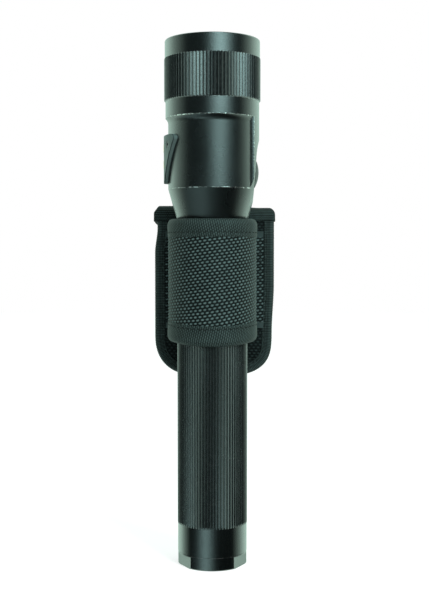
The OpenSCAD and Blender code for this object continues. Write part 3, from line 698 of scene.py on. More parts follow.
def make_panel_stitches(material):
    """Stitches along the panel's tape in front and behind, and down each flange of the ring."""
    cloth = bpy.context.scene.holder_cloth
    edge, inward, travelled = panel_edge(0.5 * MM)
    places = spaced(travelled[-1] - 4 * MM, cloth.stitch_pitch) + 2 * MM

    def along_edge(values):
        """The line's values at the stitches' places."""
        return np.stack([np.interp(places, travelled, values[:, k]) for k in range(3)], -1)

    at, into = along_edge(edge), along_edge(inward)
    into = into / np.linalg.norm(into, axis=1, keepdims=True)
    front = np.tile([0, -1.0, 0], (len(at), 1))
    along = np.cross(into, front)
    at = at + into * 3.45 * MM
    half = (PANEL_BACK - PANEL_FRONT) / 2 + 0.12 * MM
    middle_y = np.array([0, (PANEL_FRONT + PANEL_BACK) / 2, 0])
    length = 0.8 * cloth.stitch_pitch
    stitches("panel_tape_stitches_front", at + middle_y + front * half, along, front, material, length)
    stitches("panel_tape_stitches_back", at + middle_y - front * half, along, -front, material, length)

    span = TOP_TAPE_EDGE - BOTTOM_TAPE_EDGE
    z = BOTTOM_TAPE_EDGE + spaced(span, cloth.stitch_pitch)
    for side, edge_x in (("left", low("ring_band", 0)), ("right", high("ring_band", 0))):
        x = (edge_x + math.copysign(RING_OUT + 1.0 * MM, edge_x)) / 2
        at = np.stack([np.full_like(z, x), np.full_like(z, PANEL_FRONT - 1.0 * MM), z], -1)
        up = np.tile([0, 0, 1.0], (len(z), 1))
        out = np.tile([0, -1.0, 0], (len(z), 1))
        stitches("flange_stitches_" + side, at, up, out, material, length)


# ---- Belt loop ----


def strap_line(step):
    """Middle line of the belt loop's webbing seen from the side, from the fold's front lip over the
    roll, down the back, across to the panel and down the sewn foot.

    Returns points as (y, z), the outward direction at each and the distance travelled.
    """
    back = high("belt_loop", 1)
    top = high("belt_loop", 2)
    foot = low("belt_loop", 2)
    thick = 2.2 * MM
    radius = (back - PANEL_FRONT) / 2
    centre_y, centre_z = PANEL_FRONT + radius, top - radius
    run = radius - thick / 2
    turn = np.linspace(np.pi, 0, 60)
    roll = np.stack([centre_y + run * np.cos(turn), centre_z + run * np.sin(turn)], -1)
    seam_top = foot + 5.8 * MM
    back_y, foot_y = back - thick / 2, PANEL_BACK + thick / 2
    bend = np.linspace(0, 1, 30)
    slope = np.stack([
        foot_y + (back_y - foot_y) * (1 - bend ** 2 * (3 - 2 * bend)),
        seam_top + 4.5 * MM * (1 - bend) - 0.8 * MM * bend,
    ], -1)
    lip = np.array([[PANEL_FRONT + thick / 2 - 0.5 * MM, FOLD_LOW - LIP]])
    end = np.array([[foot_y, foot]])
    corners = np.concatenate([lip, roll, slope, end])
    travelled = lengths(corners)
    stations = np.linspace(0, travelled[-1], int(travelled[-1] / step))
    line = np.stack([np.interp(stations, travelled, corners[:, k]) for k in range(2)], -1)
    along = np.gradient(line, axis=0)
    out = np.stack([-along[:, 1], along[:, 0]], -1)
    out = out / np.linalg.norm(out, axis=1, keepdims=True)
    return line, out, stations


def make_belt_strap(material):
    """The webbing that makes the belt loop: a flat oval section carried along the strap's line.

    Its half width is the loop's, wider over the fold, cut off at the fold's two upper corners and
    rounded at the foot. The fold hangs a little lower on the right. The relief is cross ribs of
    short loops.
    """
    cloth = bpy.context.scene.holder_cloth
    step = 0.36 * MM
    line, out, travelled = strap_line(step)
    z = line[:, 1]
    fold_half = (high("belt_loop", 0) - low("belt_loop", 0)) / 2
    strap_half = PANEL_HALF - 1.6 * MM
    top, foot = high("belt_loop", 2), low("belt_loop", 2)
    over = smooth_step(z, FOLD_LOW - LIP - 2.4 * MM, FOLD_LOW - LIP)
    over = np.maximum(over, (travelled < 6 * MM) * 1.0)
    corner = PANEL_CORNER + EDGE_TAPE
    drop = np.clip(foot + corner - z, 0, corner)
    foot_cut = corner - np.sqrt(corner ** 2 - drop ** 2)
    near_top = np.clip((z + 1.1 * MM * out[:, 1] - (top - 2.6 * MM)) / (2.6 * MM), 0, 1)
    half = strap_half + (fold_half - strap_half) * over - foot_cut
    left = half - 1.5 * MM * near_top
    right = half - 1.6 * MM * (1 - np.sqrt(np.clip(1 - near_top ** 2, 0, 1)))

    thick = 1.1 * MM
    face = np.linspace(-1, 1, 124)
    rounded = np.linspace(np.pi / 2, -np.pi / 2, 9)[1:-1]
    edge_run = 0.04
    section_a = np.concatenate([
        face * (1 - edge_run), 1 - edge_run + edge_run * np.cos(rounded),
        face[::-1] * (1 - edge_run), -1 + edge_run - edge_run * np.cos(rounded),
    ])
    section_b = np.concatenate([
        np.full_like(face, 1.0), np.sin(rounded), np.full_like(face, -1.0), -np.sin(rounded),
    ])
    x = np.where(section_a[None] < 0, section_a[None] * left[:, None], section_a[None] * right[:, None])
    height = knots(travelled[:, None] + 0 * x, x, cloth.rib_pitch)
    b = (thick + 0.22 * MM * (height - 0.9)) * section_b[None]
    near_fold = smooth_step(z, top - 7 * MM, top - 2 * MM)[:, None]
    sag = 0.85 * MM * smooth_step(x, 6 * MM, 20 * MM) * near_fold
    points = np.stack([
        x + PANEL_MIDDLE,
        line[:, None, 0] + out[:, None, 0] * b,
        line[:, None, 1] + out[:, None, 1] * b - sag,
    ], -1)
    around = np.concatenate([x, x[:, :1]], 1)
    uv = np.stack([np.repeat(travelled[:, None], around.shape[1], 1), around], -1)
    # Painted light and shade: the ribs' height goes to the cloth finish as lit ribs and dark valleys.
    piece = make_surface("belt_strap", points, uv, material, relief=height)
    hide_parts("belt_loop")
    return piece


def make_strap_stitches(material):
    """Two rows of stitches that close the loop's foot."""
    cloth = bpy.context.scene.holder_cloth
    foot = low("belt_loop", 2)
    length = 0.8 * cloth.stitch_pitch
    for name, z, reach in (("low", foot + 1.4 * MM, 10 * MM), ("high", foot + 4.6 * MM, 14 * MM)):
        x = spaced(2 * reach, cloth.stitch_pitch) - reach
        at = np.stack([
            x + PANEL_MIDDLE, np.full_like(x, PANEL_BACK + 2.2 * MM), np.full_like(x, z),
        ], -1)
        along = np.tile([1.0, 0, 0], (len(x), 1))
        out = np.tile([0, 1.0, 0], (len(x), 1))
        stitches("foot_stitches_" + name, at, along, out, material, length)


# ---- Shader building ----


class Shader:
    """A material or node group under construction, with short calls for the nodes it needs."""

    def __init__(self, tree):
        """Works on one node tree."""
        self.tree = tree

    def add(self, kind, **settings):
        """A node of one kind. Settings with a socket's name fill that socket, by value or link,
        and others set the node's own properties."""
        node = self.tree.nodes.new(kind)
        for key, value in settings.items():
            if hasattr(node, key) and key not in node.inputs:
                setattr(node, key, value)
                continue
            socket = node.inputs[key.replace("_", " ") if key not in node.inputs else key]
            if isinstance(value, bpy.types.NodeSocket):
                self.tree.links.new(value, socket)
            else:
                socket.default_value = value
        return node

    def math(self, operation, a, b=0.0, clamp=False):
        """One arithmetic step between two numbers or sockets."""
        node = self.tree.nodes.new("ShaderNodeMath")
        node.operation, node.use_clamp = operation, clamp
        for socket, value in zip(node.inputs, (a, b)):
            if isinstance(value, bpy.types.NodeSocket):
                self.tree.links.new(value, socket)
            else:
                socket.default_value = value
        return node.outputs[0]

    def spread(self, value, low_in, high_in, low_out, high_out):
        """A number carried from one range to another, held at its ends."""
        node = self.add("ShaderNodeMapRange", clamp=True)
        for key, item in (("Value", value), ("From Min", low_in), ("From Max", high_in),
                          ("To Min", low_out), ("To Max", high_out)):
            if isinstance(item, bpy.types.NodeSocket):
                self.tree.links.new(item, node.inputs[key])
            else:
                node.inputs[key].default_value = item
        return node.outputs[0]

    def mix(self, factor, a, b):
        """A colour between two colours."""
        node = self.tree.nodes.new("ShaderNodeMix")
        node.data_type = "RGBA"
        for index, value in ((0, factor), (6, a), (7, b)):
            if isinstance(value, bpy.types.NodeSocket):
                self.tree.links.new(value, node.inputs[index])
            elif index:
                node.inputs[index].default_value = (*value, 1)
            else:
                node.inputs[index].default_value = value
        return node.outputs[2]

    def product(self, *factors):
        """Numbers or sockets multiplied together, one after another."""
        result = factors[0]
        for factor in factors[1:]:
            result = self.math("MULTIPLY", result, factor)
        return result

    def axes(self, vector):
        """The three coordinates of a vector."""
        node = self.tree.nodes.new("ShaderNodeSeparateXYZ")
        self.tree.links.new(vector, node.inputs[0])
        return node.outputs

    def noise(self, vector, scale, detail=3.0, roughness=0.5):
        """Cloudy noise, 0 to 1, with a number of clouds in a metre."""
        node = self.tree.nodes.new("ShaderNodeTexNoise")
        self.tree.links.new(vector, node.inputs["Vector"])
        node.inputs["Scale"].default_value = scale
        node.inputs["Detail"].default_value = detail
        node.inputs["Roughness"].default_value = roughness
        return node.outputs["Fac"]


def new_group(name, inputs, outputs):
    """An empty shader node group. Returns the builder, its input node and its output node."""
    tree = bpy.data.node_groups.new(name, "ShaderNodeTree")
    kinds = {"number": "NodeSocketFloat", "vector": "NodeSocketVector"}
    for socket, kind, default in inputs:
        made = tree.interface.new_socket(name=socket, in_out="INPUT", socket_type=kinds[kind])
        if default is not None:
            made.default_value = default
    for socket, kind in outputs:
        tree.interface.new_socket(name=socket, in_out="OUTPUT", socket_type=kinds[kind])
    build = Shader(tree)
    return build, tree.nodes.new("NodeGroupInput"), tree.nodes.new("NodeGroupOutput")


def grain_group():
    """Fine grain and slow unevenness of a surface: Grain is 0 to 1 at a size in grains a metre, and
    Cloud is 0 to 1 at a size in clouds a metre."""
    build, start, end = new_group(
        "Surface grain",
        [("Position", "vector", None), ("Grains", "number", 4000.0), ("Clouds", "number", 90.0)],
        [("Grain", "number"), ("Cloud", "number")])
    grain = build.tree.nodes.new("ShaderNodeTexNoise")
    grain.inputs["Detail"].default_value = 2
    cloud = build.tree.nodes.new("ShaderNodeTexNoise")
    cloud.inputs["Detail"].default_value = 4
    for node, size, name in ((grain, "Grains", "Grain"), (cloud, "Clouds", "Cloud")):
        build.tree.links.new(start.outputs["Position"], node.inputs["Vector"])
        build.tree.links.new(start.outputs[size], node.inputs["Scale"])
        build.tree.links.new(node.outputs["Fac"], end.inputs[name])
    return build.tree


def wear_and_glint_group():
    """Worn edges, partly painted highlights along them: the angle between the surface and the same
    surface with its edges rounded, broken up by noise. Mask is 1 where the finish has gone and the edge
    is painted bright."""
    build, start, end = new_group(
        "Edge wear",
        [("Position", "vector", None), ("Width", "number", 0.25 * MM), ("Amount", "number", 0.5)],
        [("Mask", "number")])
    bevel = build.add("ShaderNodeBevel", samples=4)
    build.tree.links.new(start.outputs["Width"], bevel.inputs["Radius"])
    plain = build.tree.nodes.new("ShaderNodeNewGeometry")
    dot = build.tree.nodes.new("ShaderNodeVectorMath")
    dot.operation = "DOT_PRODUCT"
    build.tree.links.new(bevel.outputs["Normal"], dot.inputs[0])
    build.tree.links.new(plain.outputs["Normal"], dot.inputs[1])
    edge = build.spread(dot.outputs["Value"], 0.998, 0.99, 0.0, 1.0)
    breaks = build.noise(start.outputs["Position"], 800.0, 4.0, 0.65)
    broken = build.spread(breaks, 0.44, 0.58, 0.0, 1.0)
    mask = build.math("MULTIPLY", build.product(edge, broken), start.outputs["Amount"], True)
    build.tree.links.new(mask, end.inputs["Mask"])
    return build.tree


def flute_group():
    """Distance from the light's axis: Crest rises from 0 on the roots' radius to 1 on the crests'
    radius, as on the crests of a fluted drum."""
    build, start, end = new_group(
        "Flute crests",
        [("Position", "vector", None), ("Roots", "number", 14 * MM), ("Crests", "number", 15 * MM)],
        [("Crest", "number")])
    x, y, _ = build.axes(start.outputs["Position"])
    radius = build.math("SQRT", build.math("ADD", build.product(x, x), build.product(y, y)))
    crest = build.spread(radius, start.outputs["Roots"], start.outputs["Crests"], 0.0, 1.0)
    build.tree.links.new(crest, end.inputs["Crest"])
    return build.tree


def yarn_group():
    """Fine filaments of a yarn: noise drawn out along the cloth. Height is 0 to 1."""
    build, start, end = new_group(
        "Yarn filaments",
        [("Cloth", "vector", None), ("Filaments", "number", 9000.0)],
        [("Height", "number"), ("Shade", "number")])
    stretch = build.add("ShaderNodeMapping")
    build.tree.links.new(start.outputs["Cloth"], stretch.inputs["Vector"])
    stretch.inputs["Scale"].default_value = (0.35, 1.0, 1.0)
    fine = build.tree.nodes.new("ShaderNodeTexNoise")
    fine.inputs["Detail"].default_value = 2
    build.tree.links.new(stretch.outputs["Vector"], fine.inputs["Vector"])
    build.tree.links.new(start.outputs["Filaments"], fine.inputs["Scale"])
    broad = build.noise(start.outputs["Cloth"], 240.0, 3.0)
    build.tree.links.new(fine.outputs["Fac"], end.inputs["Height"])
    build.tree.links.new(broad, end.inputs["Shade"])
    return build.tree


GROUPS = {}


def group_node(build, name, **inputs):
    """A node that holds one of the shared groups, which is made the first time."""
    makers = {"grain": grain_group, "wear": wear_and_glint_group, "flute": flute_group, "yarn": yarn_group}
    if name not in GROUPS:
        GROUPS[name] = makers[name]()
    node = build.tree.nodes.new("ShaderNodeGroup")
    node.node_tree = GROUPS[name]
    for key, value in inputs.items():
        if isinstance(value, bpy.types.NodeSocket):
            build.tree.links.new(value, node.inputs[key])
        else:
            node.inputs[key].default_value = value
    return node


def at_radius(build, here, inner, outer):
    """A mask that rises from 0 to 1 between two distances from the light's axis."""
    return group_node(build, "flute", Position=here, Roots=inner, Crests=outer).outputs["Crest"]


def start_material(name):
    """An empty material. Returns it, its builder and its Principled shader, already linked."""
    material = bpy.data.materials.new(name)
    material.use_nodes = True
    material.node_tree.nodes.clear()
    build = Shader(material.node_tree)
    shader = build.tree.nodes.new("ShaderNodeBsdfPrincipled")
    output = build.tree.nodes.new("ShaderNodeOutputMaterial")
    build.tree.links.new(shader.outputs["BSDF"], output.inputs["Surface"])
    return material, build, shader


def feed(build, shader, **sources):
    """Fills the shader's sockets by value or link. Underscores stand for spaces."""
    for key, value in sources.items():
        socket = shader.inputs[key.replace("_", " ")]
        if isinstance(value, bpy.types.NodeSocket):
            build.tree.links.new(value, socket)
        else:
            socket.default_value = value


def bump(build, shader, height, distance, strength=1.0):
    """A bump of a given depth in metres on the shader's normal."""
    node = build.tree.nodes.new("ShaderNodeBump")
    node.inputs["Strength"].default_value = strength
    node.inputs["Distance"].default_value = distance
    build.tree.links.new(height, node.inputs["Height"])
    build.tree.links.new(node.outputs["Normal"], shader.inputs["Normal"])


def position(build):
    """Object coordinates."""
    return build.tree.nodes.new("ShaderNodeTexCoord").outputs["Object"]


def cloth_position(build):
    """The piece's own cloth coordinates, in metres."""
    node = build.tree.nodes.new("ShaderNodeUVMap")
    node.uv_map = "cloth"
    return node.outputs["UV"]


# ---- Finishes ----

# Distance from the light's axis within which the charging block is painted black: a painted shadow
# where it meets the head.
CONTACT_SHADOW_RADIUS = 18.8 * MM


def anodised(name, worn, rough=0.23, crests=None, crest_highlight=0.0, rims=(), plain=None,
             milled=None):
    """Black anodised aluminium: a dark satin coat, fine grain, faint handling and worn edges.

    crests is the crest radius of its fluted part, whose crests are painted lighter as a painted
    highlight, and lighter still where seen at a slant as a painted reflection of the pale sides;
    crest_highlight is the colour of that painted highlight. rims are the heights of the milled pockets'
    rims, where a thin broken
    line of bare metal is painted: partly chipped finish, partly painted highlights on the rims.
    plain is the height below which the part is turned plain, and so is smoother. milled is the
    radius of the part's band, and whatever lies under it is milled and a little rougher.
    """
    colours = bpy.context.scene.flashlight_colours
    material, build, shader = start_material(name)
    here = position(build)
    grain = group_node(build, "grain", Position=here, Grains=2300.0, Clouds=70.0)
    # Worn edges: bare metal that also paints highlights along the edges.
    wear = group_node(build, "wear", Position=here, Width=0.22 * MM, Amount=worn)
    mask, cloud = wear.outputs["Mask"], grain.outputs["Cloud"]
    x, _, z = build.axes(here)
    # Painted highlight: a thin broken line of bare metal along the pocket rims, partly chipped finish.
    if rims:
        between = build.spread(build.math("ABSOLUTE", x), 14.5 * MM, 16 * MM, 1.0, 0.0)
        chips_and_glints = build.spread(build.noise(here, 420.0, 5.0, 0.75), 0.5, 0.56, 0.0, 1.0)
        for height in rims:
            away = build.math("ABSOLUTE", build.math("SUBTRACT", z, height))
            line = build.spread(away, 0.14 * MM, 0.26 * MM, 1.0, 0.0)
            mask = build.math("MAXIMUM", mask, build.product(line, chips_and_glints, between))
    dark = tuple(0.8 * c for c in colours.anodise)
    light = tuple(1.25 * c for c in colours.anodise)
    body = build.mix(cloud, dark, light)
    roughness = build.spread(cloud, 0.3, 0.7, rough * 0.88, rough * 1.12)
    if plain:
        share = build.spread(z, plain - 0.1 * MM, plain + 0.1 * MM, 0.5, 1.0)
        roughness = build.product(roughness, share)
    if milled:
        turned = at_radius(build, here, milled - 0.6 * MM, milled - 0.3 * MM)
        roughness = build.product(roughness, build.spread(turned, 0.0, 1.0, 1.25, 0.93))
    # Painted highlight on the flute crests, and a painted reflection of the pale sides where they are
    # seen at a slant.
    if crests:
        crest = at_radius(build, here, crests - 0.16 * MM, crests - 0.03 * MM)
        painted_crest_colour = tuple(crest_highlight * c for c in (0.7, 1.0, 0.97))
        facing = build.add("ShaderNodeLayerWeight", Blend=0.5).outputs["Facing"]
        grazing_reflection = build.spread(facing, 0.3, 0.58, 0.0, 1.0)
        painted_crest_colour = build.mix(grazing_reflection, painted_crest_colour, (0.18, 0.23, 0.215))
        body = build.mix(crest, body, painted_crest_colour)
    feed(build, shader,
         Base_Color=build.mix(mask, body, tuple(colours.bare_metal)),
         Metallic=mask, Roughness=roughness, IOR=1.65)
    bump(build, shader, grain.outputs["Grain"], 0.04 * MM, 1.0)
    return material


def bare_metal(name, colour, roughness):
    """A bare metal, finely machined: its roughness and height follow the grain."""
    material, build, shader = start_material(name)
    here = position(build)
    grain = group_node(build, "grain", Position=here, Grains=3000.0, Clouds=120.0)
    dull = tuple(0.82 * c for c in colour)
    feed(build, shader,
         Base_Color=build.mix(grain.outputs["Cloud"], dull, colour),
         Metallic=1.0,
         Roughness=build.spread(grain.outputs["Cloud"], 0.3, 0.7, roughness * 0.85, roughness * 1.15))
    bump(build, shader, grain.outputs["Grain"], 0.01 * MM, 0.5)
    return material


def moulding(name, colour, roughness, depth, edge=0.0, contact_shadow=0.0, cover=0.0):
    """A moulded plastic or rubber part: mottled colour and a stippled surface.

    contact_shadow is the distance from the axis within which the part is painted black, a painted
    shadow where it meets the head. cover is the radius of its outer cover, which has a thin dark line
    painted just under its edge.
    """
    material, build, shader = start_material(name)
    here = position(build)
    grain = group_node(build, "grain", Position=here, Grains=2600.0, Clouds=110.0)
    dark = tuple(0.78 * c for c in colour)
    body = build.mix(grain.outputs["Cloud"], dark, colour)
    # Edges painted lighter: wear, and painted highlights along them.
    if edge:
        wear = group_node(build, "wear", Position=here, Width=0.3 * MM, Amount=edge)
        body = build.mix(wear.outputs["Mask"], body, tuple(min(1.0, 4 * c + 0.02) for c in colour))
    # Painted shadow: a thin black band where the part meets the head.
    if contact_shadow:
        outside = at_radius(build, here, contact_shadow - 0.1 * MM, contact_shadow)
        body = build.mix(outside, (0.0008, 0.0008, 0.0008), body)
    # A thin dark line painted just under the cover's edge.
    if cover:
        edge_dark_line_start = at_radius(build, here, cover - 0.45 * MM, cover - 0.35 * MM)
        edge_dark_line_end = at_radius(build, here, cover - 0.15 * MM, cover - 0.05 * MM)
        edge_dark_line = build.math("SUBTRACT", edge_dark_line_start, edge_dark_line_end)
        body = build.mix(edge_dark_line, body, (0.004, 0.005, 0.005))
    feed(build, shader, Base_Color=body,
         Roughness=build.spread(grain.outputs["Cloud"], 0.3, 0.7, roughness * 0.9, roughness * 1.1))
    bump(build, shader, grain.outputs["Grain"], depth, 0.6)
    return material


def mirror():
    """The reflector's vacuum-coated mirror, with the light orange peel of its lacquer."""
    material, build, shader = start_material("mirror_coating")
    grain = group_node(build, "grain", Position=position(build), Grains=900.0, Clouds=160.0)
    feed(build, shader,
         Base_Color=build.mix(grain.outputs["Cloud"], (0.82, 0.84, 0.85), (0.9, 0.91, 0.92)),
         Metallic=1.0, Roughness=0.07)
    bump(build, shader, grain.outputs["Grain"], 0.004 * MM, 0.3)
    return material


def clear_glass():
    """The lens: clear coated glass with a few faint marks of handling."""
    material, build, shader = start_material("coated_glass")
    grain = group_node(build, "grain", Position=position(build), Grains=1500.0, Clouds=60.0)
    feed(build, shader,
         Base_Color=(0.93, 0.98, 0.975, 1.0),
         Transmission_Weight=1.0, IOR=1.47,
         Roughness=build.spread(grain.outputs["Cloud"], 0.45, 0.75, 0.015, 0.05))
    return material


def phosphor():
    """The emitter's dome over its yellow phosphor."""
    material, build, shader = start_material("phosphor_dome")
    grain = group_node(build, "grain", Position=position(build), Grains=9000.0, Clouds=900.0)
    feed(build, shader,
         Base_Color=build.mix(grain.outputs["Cloud"], (0.78, 0.62, 0.12), (0.9, 0.78, 0.25)),
         Roughness=0.18, Coat_Weight=0.6, Coat_Roughness=0.05)
    return material


def cloth_material(name, colour, gap_shade):
    """Woven nylon: painted shade darkens the weave's gaps and painted light fills its raised yarns,
    both read from the relief attribute; filaments run along the yarns, and painted shade darkens the
    cloth where it is seen at a slant."""
    material, build, shader = start_material(name)
    cloth = cloth_position(build)
    relief = build.add("ShaderNodeAttribute", attribute_name="relief").outputs["Fac"]
    yarn = group_node(build, "yarn", Cloth=cloth, Filaments=8200.0)
    shade = build.spread(yarn.outputs["Shade"], 0.3, 0.7, 0.8, 1.15)
    # Painted light and shade: the raised yarns take the full colour and the gaps a dark share of it.
    lit = build.spread(relief, 0.4, 0.95, 0.0, 1.0)
    body = build.mix(lit, tuple(gap_shade * c for c in colour), colour)
    tint = build.tree.nodes.new("ShaderNodeVectorMath")
    tint.operation = "SCALE"
    # Painted shade where the cloth is seen at a slant.
    facing = build.add("ShaderNodeLayerWeight", Blend=0.5).outputs["Facing"]
    shade = build.math("MULTIPLY", shade, build.spread(facing, 0.2, 0.75, 1.0, 0.6))
    build.tree.links.new(body, tint.inputs[0])
    build.tree.links.new(shade, tint.inputs["Scale"])
    feed(build, shader,
         Base_Color=tint.outputs[0],
         Roughness=build.spread(yarn.outputs["Height"], 0.3, 0.7, 0.5, 0.66),
         IOR=1.22, Sheen_Weight=0.02, Sheen_Roughness=0.4)
    bump(build, shader, yarn.outputs["Height"], 0.05 * MM, 0.8)
    return material


def thread_material():
    """Twisted sewing thread."""
    colours = bpy.context.scene.flashlight_colours
    material, build, shader = start_material("nylon_thread")
    grain = group_node(build, "grain", Position=position(build), Grains=7000.0, Clouds=400.0)
    colour = tuple(colours.thread)
    feed(build, shader,
         Base_Color=build.mix(grain.outputs["Cloud"], tuple(0.6 * c for c in colour), colour),
         Roughness=0.6, IOR=1.22)
    bump(build, shader, grain.outputs["Grain"], 0.05 * MM, 0.8)
    return material


def give(material, *nodes):
    """Puts one finish on CAD nodes."""
    for node in nodes:
        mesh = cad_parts[node].data
        mesh.materials.clear()
        mesh.materials.append(material)


def nylon(name, setting, share, gap_shade):
    """A cloth finish by name, made the first time that it is asked for. Its colour is a share of
    one of the colour settings, and gap_shade is the painted shade of its gaps, as a share of that."""
    colour = tuple(share * c for c in getattr(bpy.context.scene.flashlight_colours, setting))
    return bpy.data.materials.get(name) or cloth_material(name, colour, gap_shade)


def woven_nylon():
    """The ring's cloth."""
    return nylon("woven_nylon", "nylon", 1.0, 0.02)


def panel_nylon():
    """The panel's cloth, painted darker as painted shade behind the ring."""
    return nylon("panel_nylon", "nylon", 0.174, 0.05)


def tape_nylon():
    """The ring's binding tape."""
    return nylon("tape_nylon", "tape", 1.15, 0.03)


def webbing_nylon():
    """The panel's binding tape."""
    return nylon("webbing_nylon", "tape", 1.0, 0.02)


def strap_nylon():
    """The belt loop's webbing, a little lighter than the tape."""
    return nylon("strap_nylon", "tape", 1.4, 0.02)


def thread_nylon():
    """The holder's thread, made the first time that it is asked for."""
    return bpy.data.materials.get("nylon_thread") or thread_material()


# ---- Operators ----


class FLASHLIGHT_OT_metal(bpy.types.Operator):
    """Finish the machined body, its caps, the bare aluminium, the cells, springs and contacts"""
    bl_idname = "flashlight.metal"
    bl_label = "Finish the metal"

    def execute(self, context):
        give(anodised("anodised_head", 0.85, rims=pocket_rims(),
                      milled=high("head_housing", 0)), "head_housing")
        give(anodised("anodised_face", 0.1, 0.21, high("face_cap", 0), 0.04), "face_cap")
        give(anodised("anodised_grip", 0.05, 0.25, high("barrel", 0), 0.025, plain=flutes_foot()),
             "barrel")
        give(anodised("anodised_tail", 0.3, 0.125), "tail_cap")
        give(bare_metal("turned_aluminium", (0.62, 0.63, 0.64), 0.3), "heat_sink", "module_ring")
        give(bare_metal("cell_cans", (0.42, 0.45, 0.47), 0.24),
             "battery_cell_rear", "battery_cell_middle", "battery_cell_front")
        give(bare_metal("steel", (0.5, 0.5, 0.48), 0.26), "tail_spring")
        give(bare_metal("blackened_steel", (0.03, 0.031, 0.032), 0.34), "charge_screws")
        give(bare_metal("plated_brass", (0.66, 0.5, 0.22), 0.28),
             "tail_contact", "front_contact", "charge_contacts")
        return {"FINISHED"}


class FLASHLIGHT_OT_mouldings(bpy.types.Operator):
    """Finish the rubber, plastic and circuit board parts"""
    bl_idname = "flashlight.mouldings"
    bl_label = "Finish rubber and plastic"

    def execute(self, context):
        give(moulding("seal_rubber", (0.012, 0.012, 0.012), 0.5, 0.01 * MM),
             "tail_seal", "face_seal", "lens_gasket")
        give(moulding("boot_rubber", (0.016, 0.0175, 0.017), 0.55, 0.03 * MM), "switch_boot")
        give(moulding("moulded_nylon", (0.017, 0.0185, 0.0185), 0.42, 0.02 * MM, edge=0.3),
             "contact_insulator", "switch_module", "switch_plunger")
        give(moulding("block_nylon", (0.07, 0.105, 0.1), 0.6, 0.03 * MM, edge=0.35,
                      contact_shadow=CONTACT_SHADOW_RADIUS, cover=-low("charge_block", 0)), "charge_block")
        give(moulding("sleeve_film", (0.03, 0.1, 0.2), 0.25, 0.01 * MM), "battery_sleeve")
        give(moulding("green_board", (0.008, 0.08, 0.03), 0.35, 0.01 * MM), "driver_board")
        give(moulding("white_board", (0.75, 0.75, 0.71), 0.35, 0.01 * MM), "led_board")
        return {"FINISHED"}


class FLASHLIGHT_OT_optics(bpy.types.Operator):
    """Finish the reflector, the lens and the emitter"""
    bl_idname = "flashlight.optics"
    bl_label = "Finish the optics"

    def execute(self, context):
        give(mirror(), "reflector")
        give(clear_glass(), "lens")
        give(phosphor(), "led_emitter")
        return {"FINISHED"}


class FLASHLIGHT_OT_ring(bpy.types.Operator):
    """Sew the holder's ring: its woven wall, its two rolled tapes and their stitches"""
    bl_idname = "flashlight.ring"
    bl_label = "Sew the ring"

    def execute(self, context):
        make_ring_wall(woven_nylon())
        top_notch, low_notch = TOP_TAPE_EDGE + 1.9 * MM, BOTTOM_TAPE_EDGE - 1.4 * MM
        bulge = 0.4 * MM
        make_ring_tape("ring_tape_top", "ring_binding_top", TOP_TAPE_EDGE, RING_HIGH, top_notch,
                       bulge, tape_nylon())
        make_ring_tape("ring_tape_bottom", "ring_binding_bottom", BOTTOM_TAPE_EDGE, RING_LOW,
                       low_notch, bulge, tape_nylon())
        make_ring_stitches("ring_stitches_top", top_notch, RING_OUT + 0.2 * MM, thread_nylon())
        make_ring_stitches("ring_stitches_bottom", low_notch, RING_OUT + 0.2 * MM, thread_nylon())
        return {"FINISHED"}


class FLASHLIGHT_OT_panel(bpy.types.Operator):
    """Sew the holder's padded panel, the tape round its edge and the stitches through both"""
    bl_idname = "flashlight.panel"
    bl_label = "Sew the panel"

    def execute(self, context):
        make_panel_cloth(panel_nylon())
        make_panel_tape(webbing_nylon())
        make_panel_stitches(thread_nylon())
        return {"FINISHED"}


class FLASHLIGHT_OT_belt_loop(bpy.types.Operator):
    """Fold the webbing over the panel's top and sew it down as the belt loop"""
    bl_idname = "flashlight.belt_loop"
    bl_label = "Sew the belt loop"

    def execute(self, context):
        make_belt_strap(strap_nylon())
        make_strap_stitches(thread_nylon())
        return {"FINISHED"}


def make_floor():
    """A pale round floor that clips to white for the camera and keeps the object's shadow."""
    ring = np.array([0.0, 0.05, 0.12, 0.3, 0.8, 2.0])
    turn = np.linspace(0, 2 * np.pi, 48, endpoint=False)
    points = np.stack([ring[1:, None] * np.cos(turn), ring[1:, None] * np.sin(turn),
                       0 * ring[1:, None] * turn], -1).reshape(-1, 3)
    i, j = np.meshgrid(np.arange(4), np.arange(48), indexing="ij")
    k = (j + 1) % 48
    quads = np.stack([i * 48 + j, (i + 1) * 48 + j, (i + 1) * 48 + k, i * 48 + k], -1).reshape(-1, 4)
    mesh = bpy.data.meshes.new("floor")
    mesh.from_pydata(points.tolist(), [], quads.tolist() + [list(range(48))])
    mesh.update()
    material, build, shader = start_material("white_floor")
    path = build.tree.nodes.new("ShaderNodeLightPath")
    seen = build.math("ADD", path.outputs["Is Camera Ray"],
                      build.math("ADD", path.outputs["Is Glossy Ray"],
                                 path.outputs["Is Transmission Ray"]), True)
    feed(build, shader, Base_Color=(0.8, 0.8, 0.8, 1.0), Roughness=0.9, Specular_IOR_Level=0.0,
         Emission_Color=(1.0, 1.0, 1.0, 1.0), Emission_Strength=build.math("MULTIPLY", seen, 0.62))
    mesh.materials.append(material)
    floor = bpy.data.objects.new("floor", mesh)
    floor.visible_glossy = False
    bpy.context.scene.collection.objects.link(floor)
    return floor


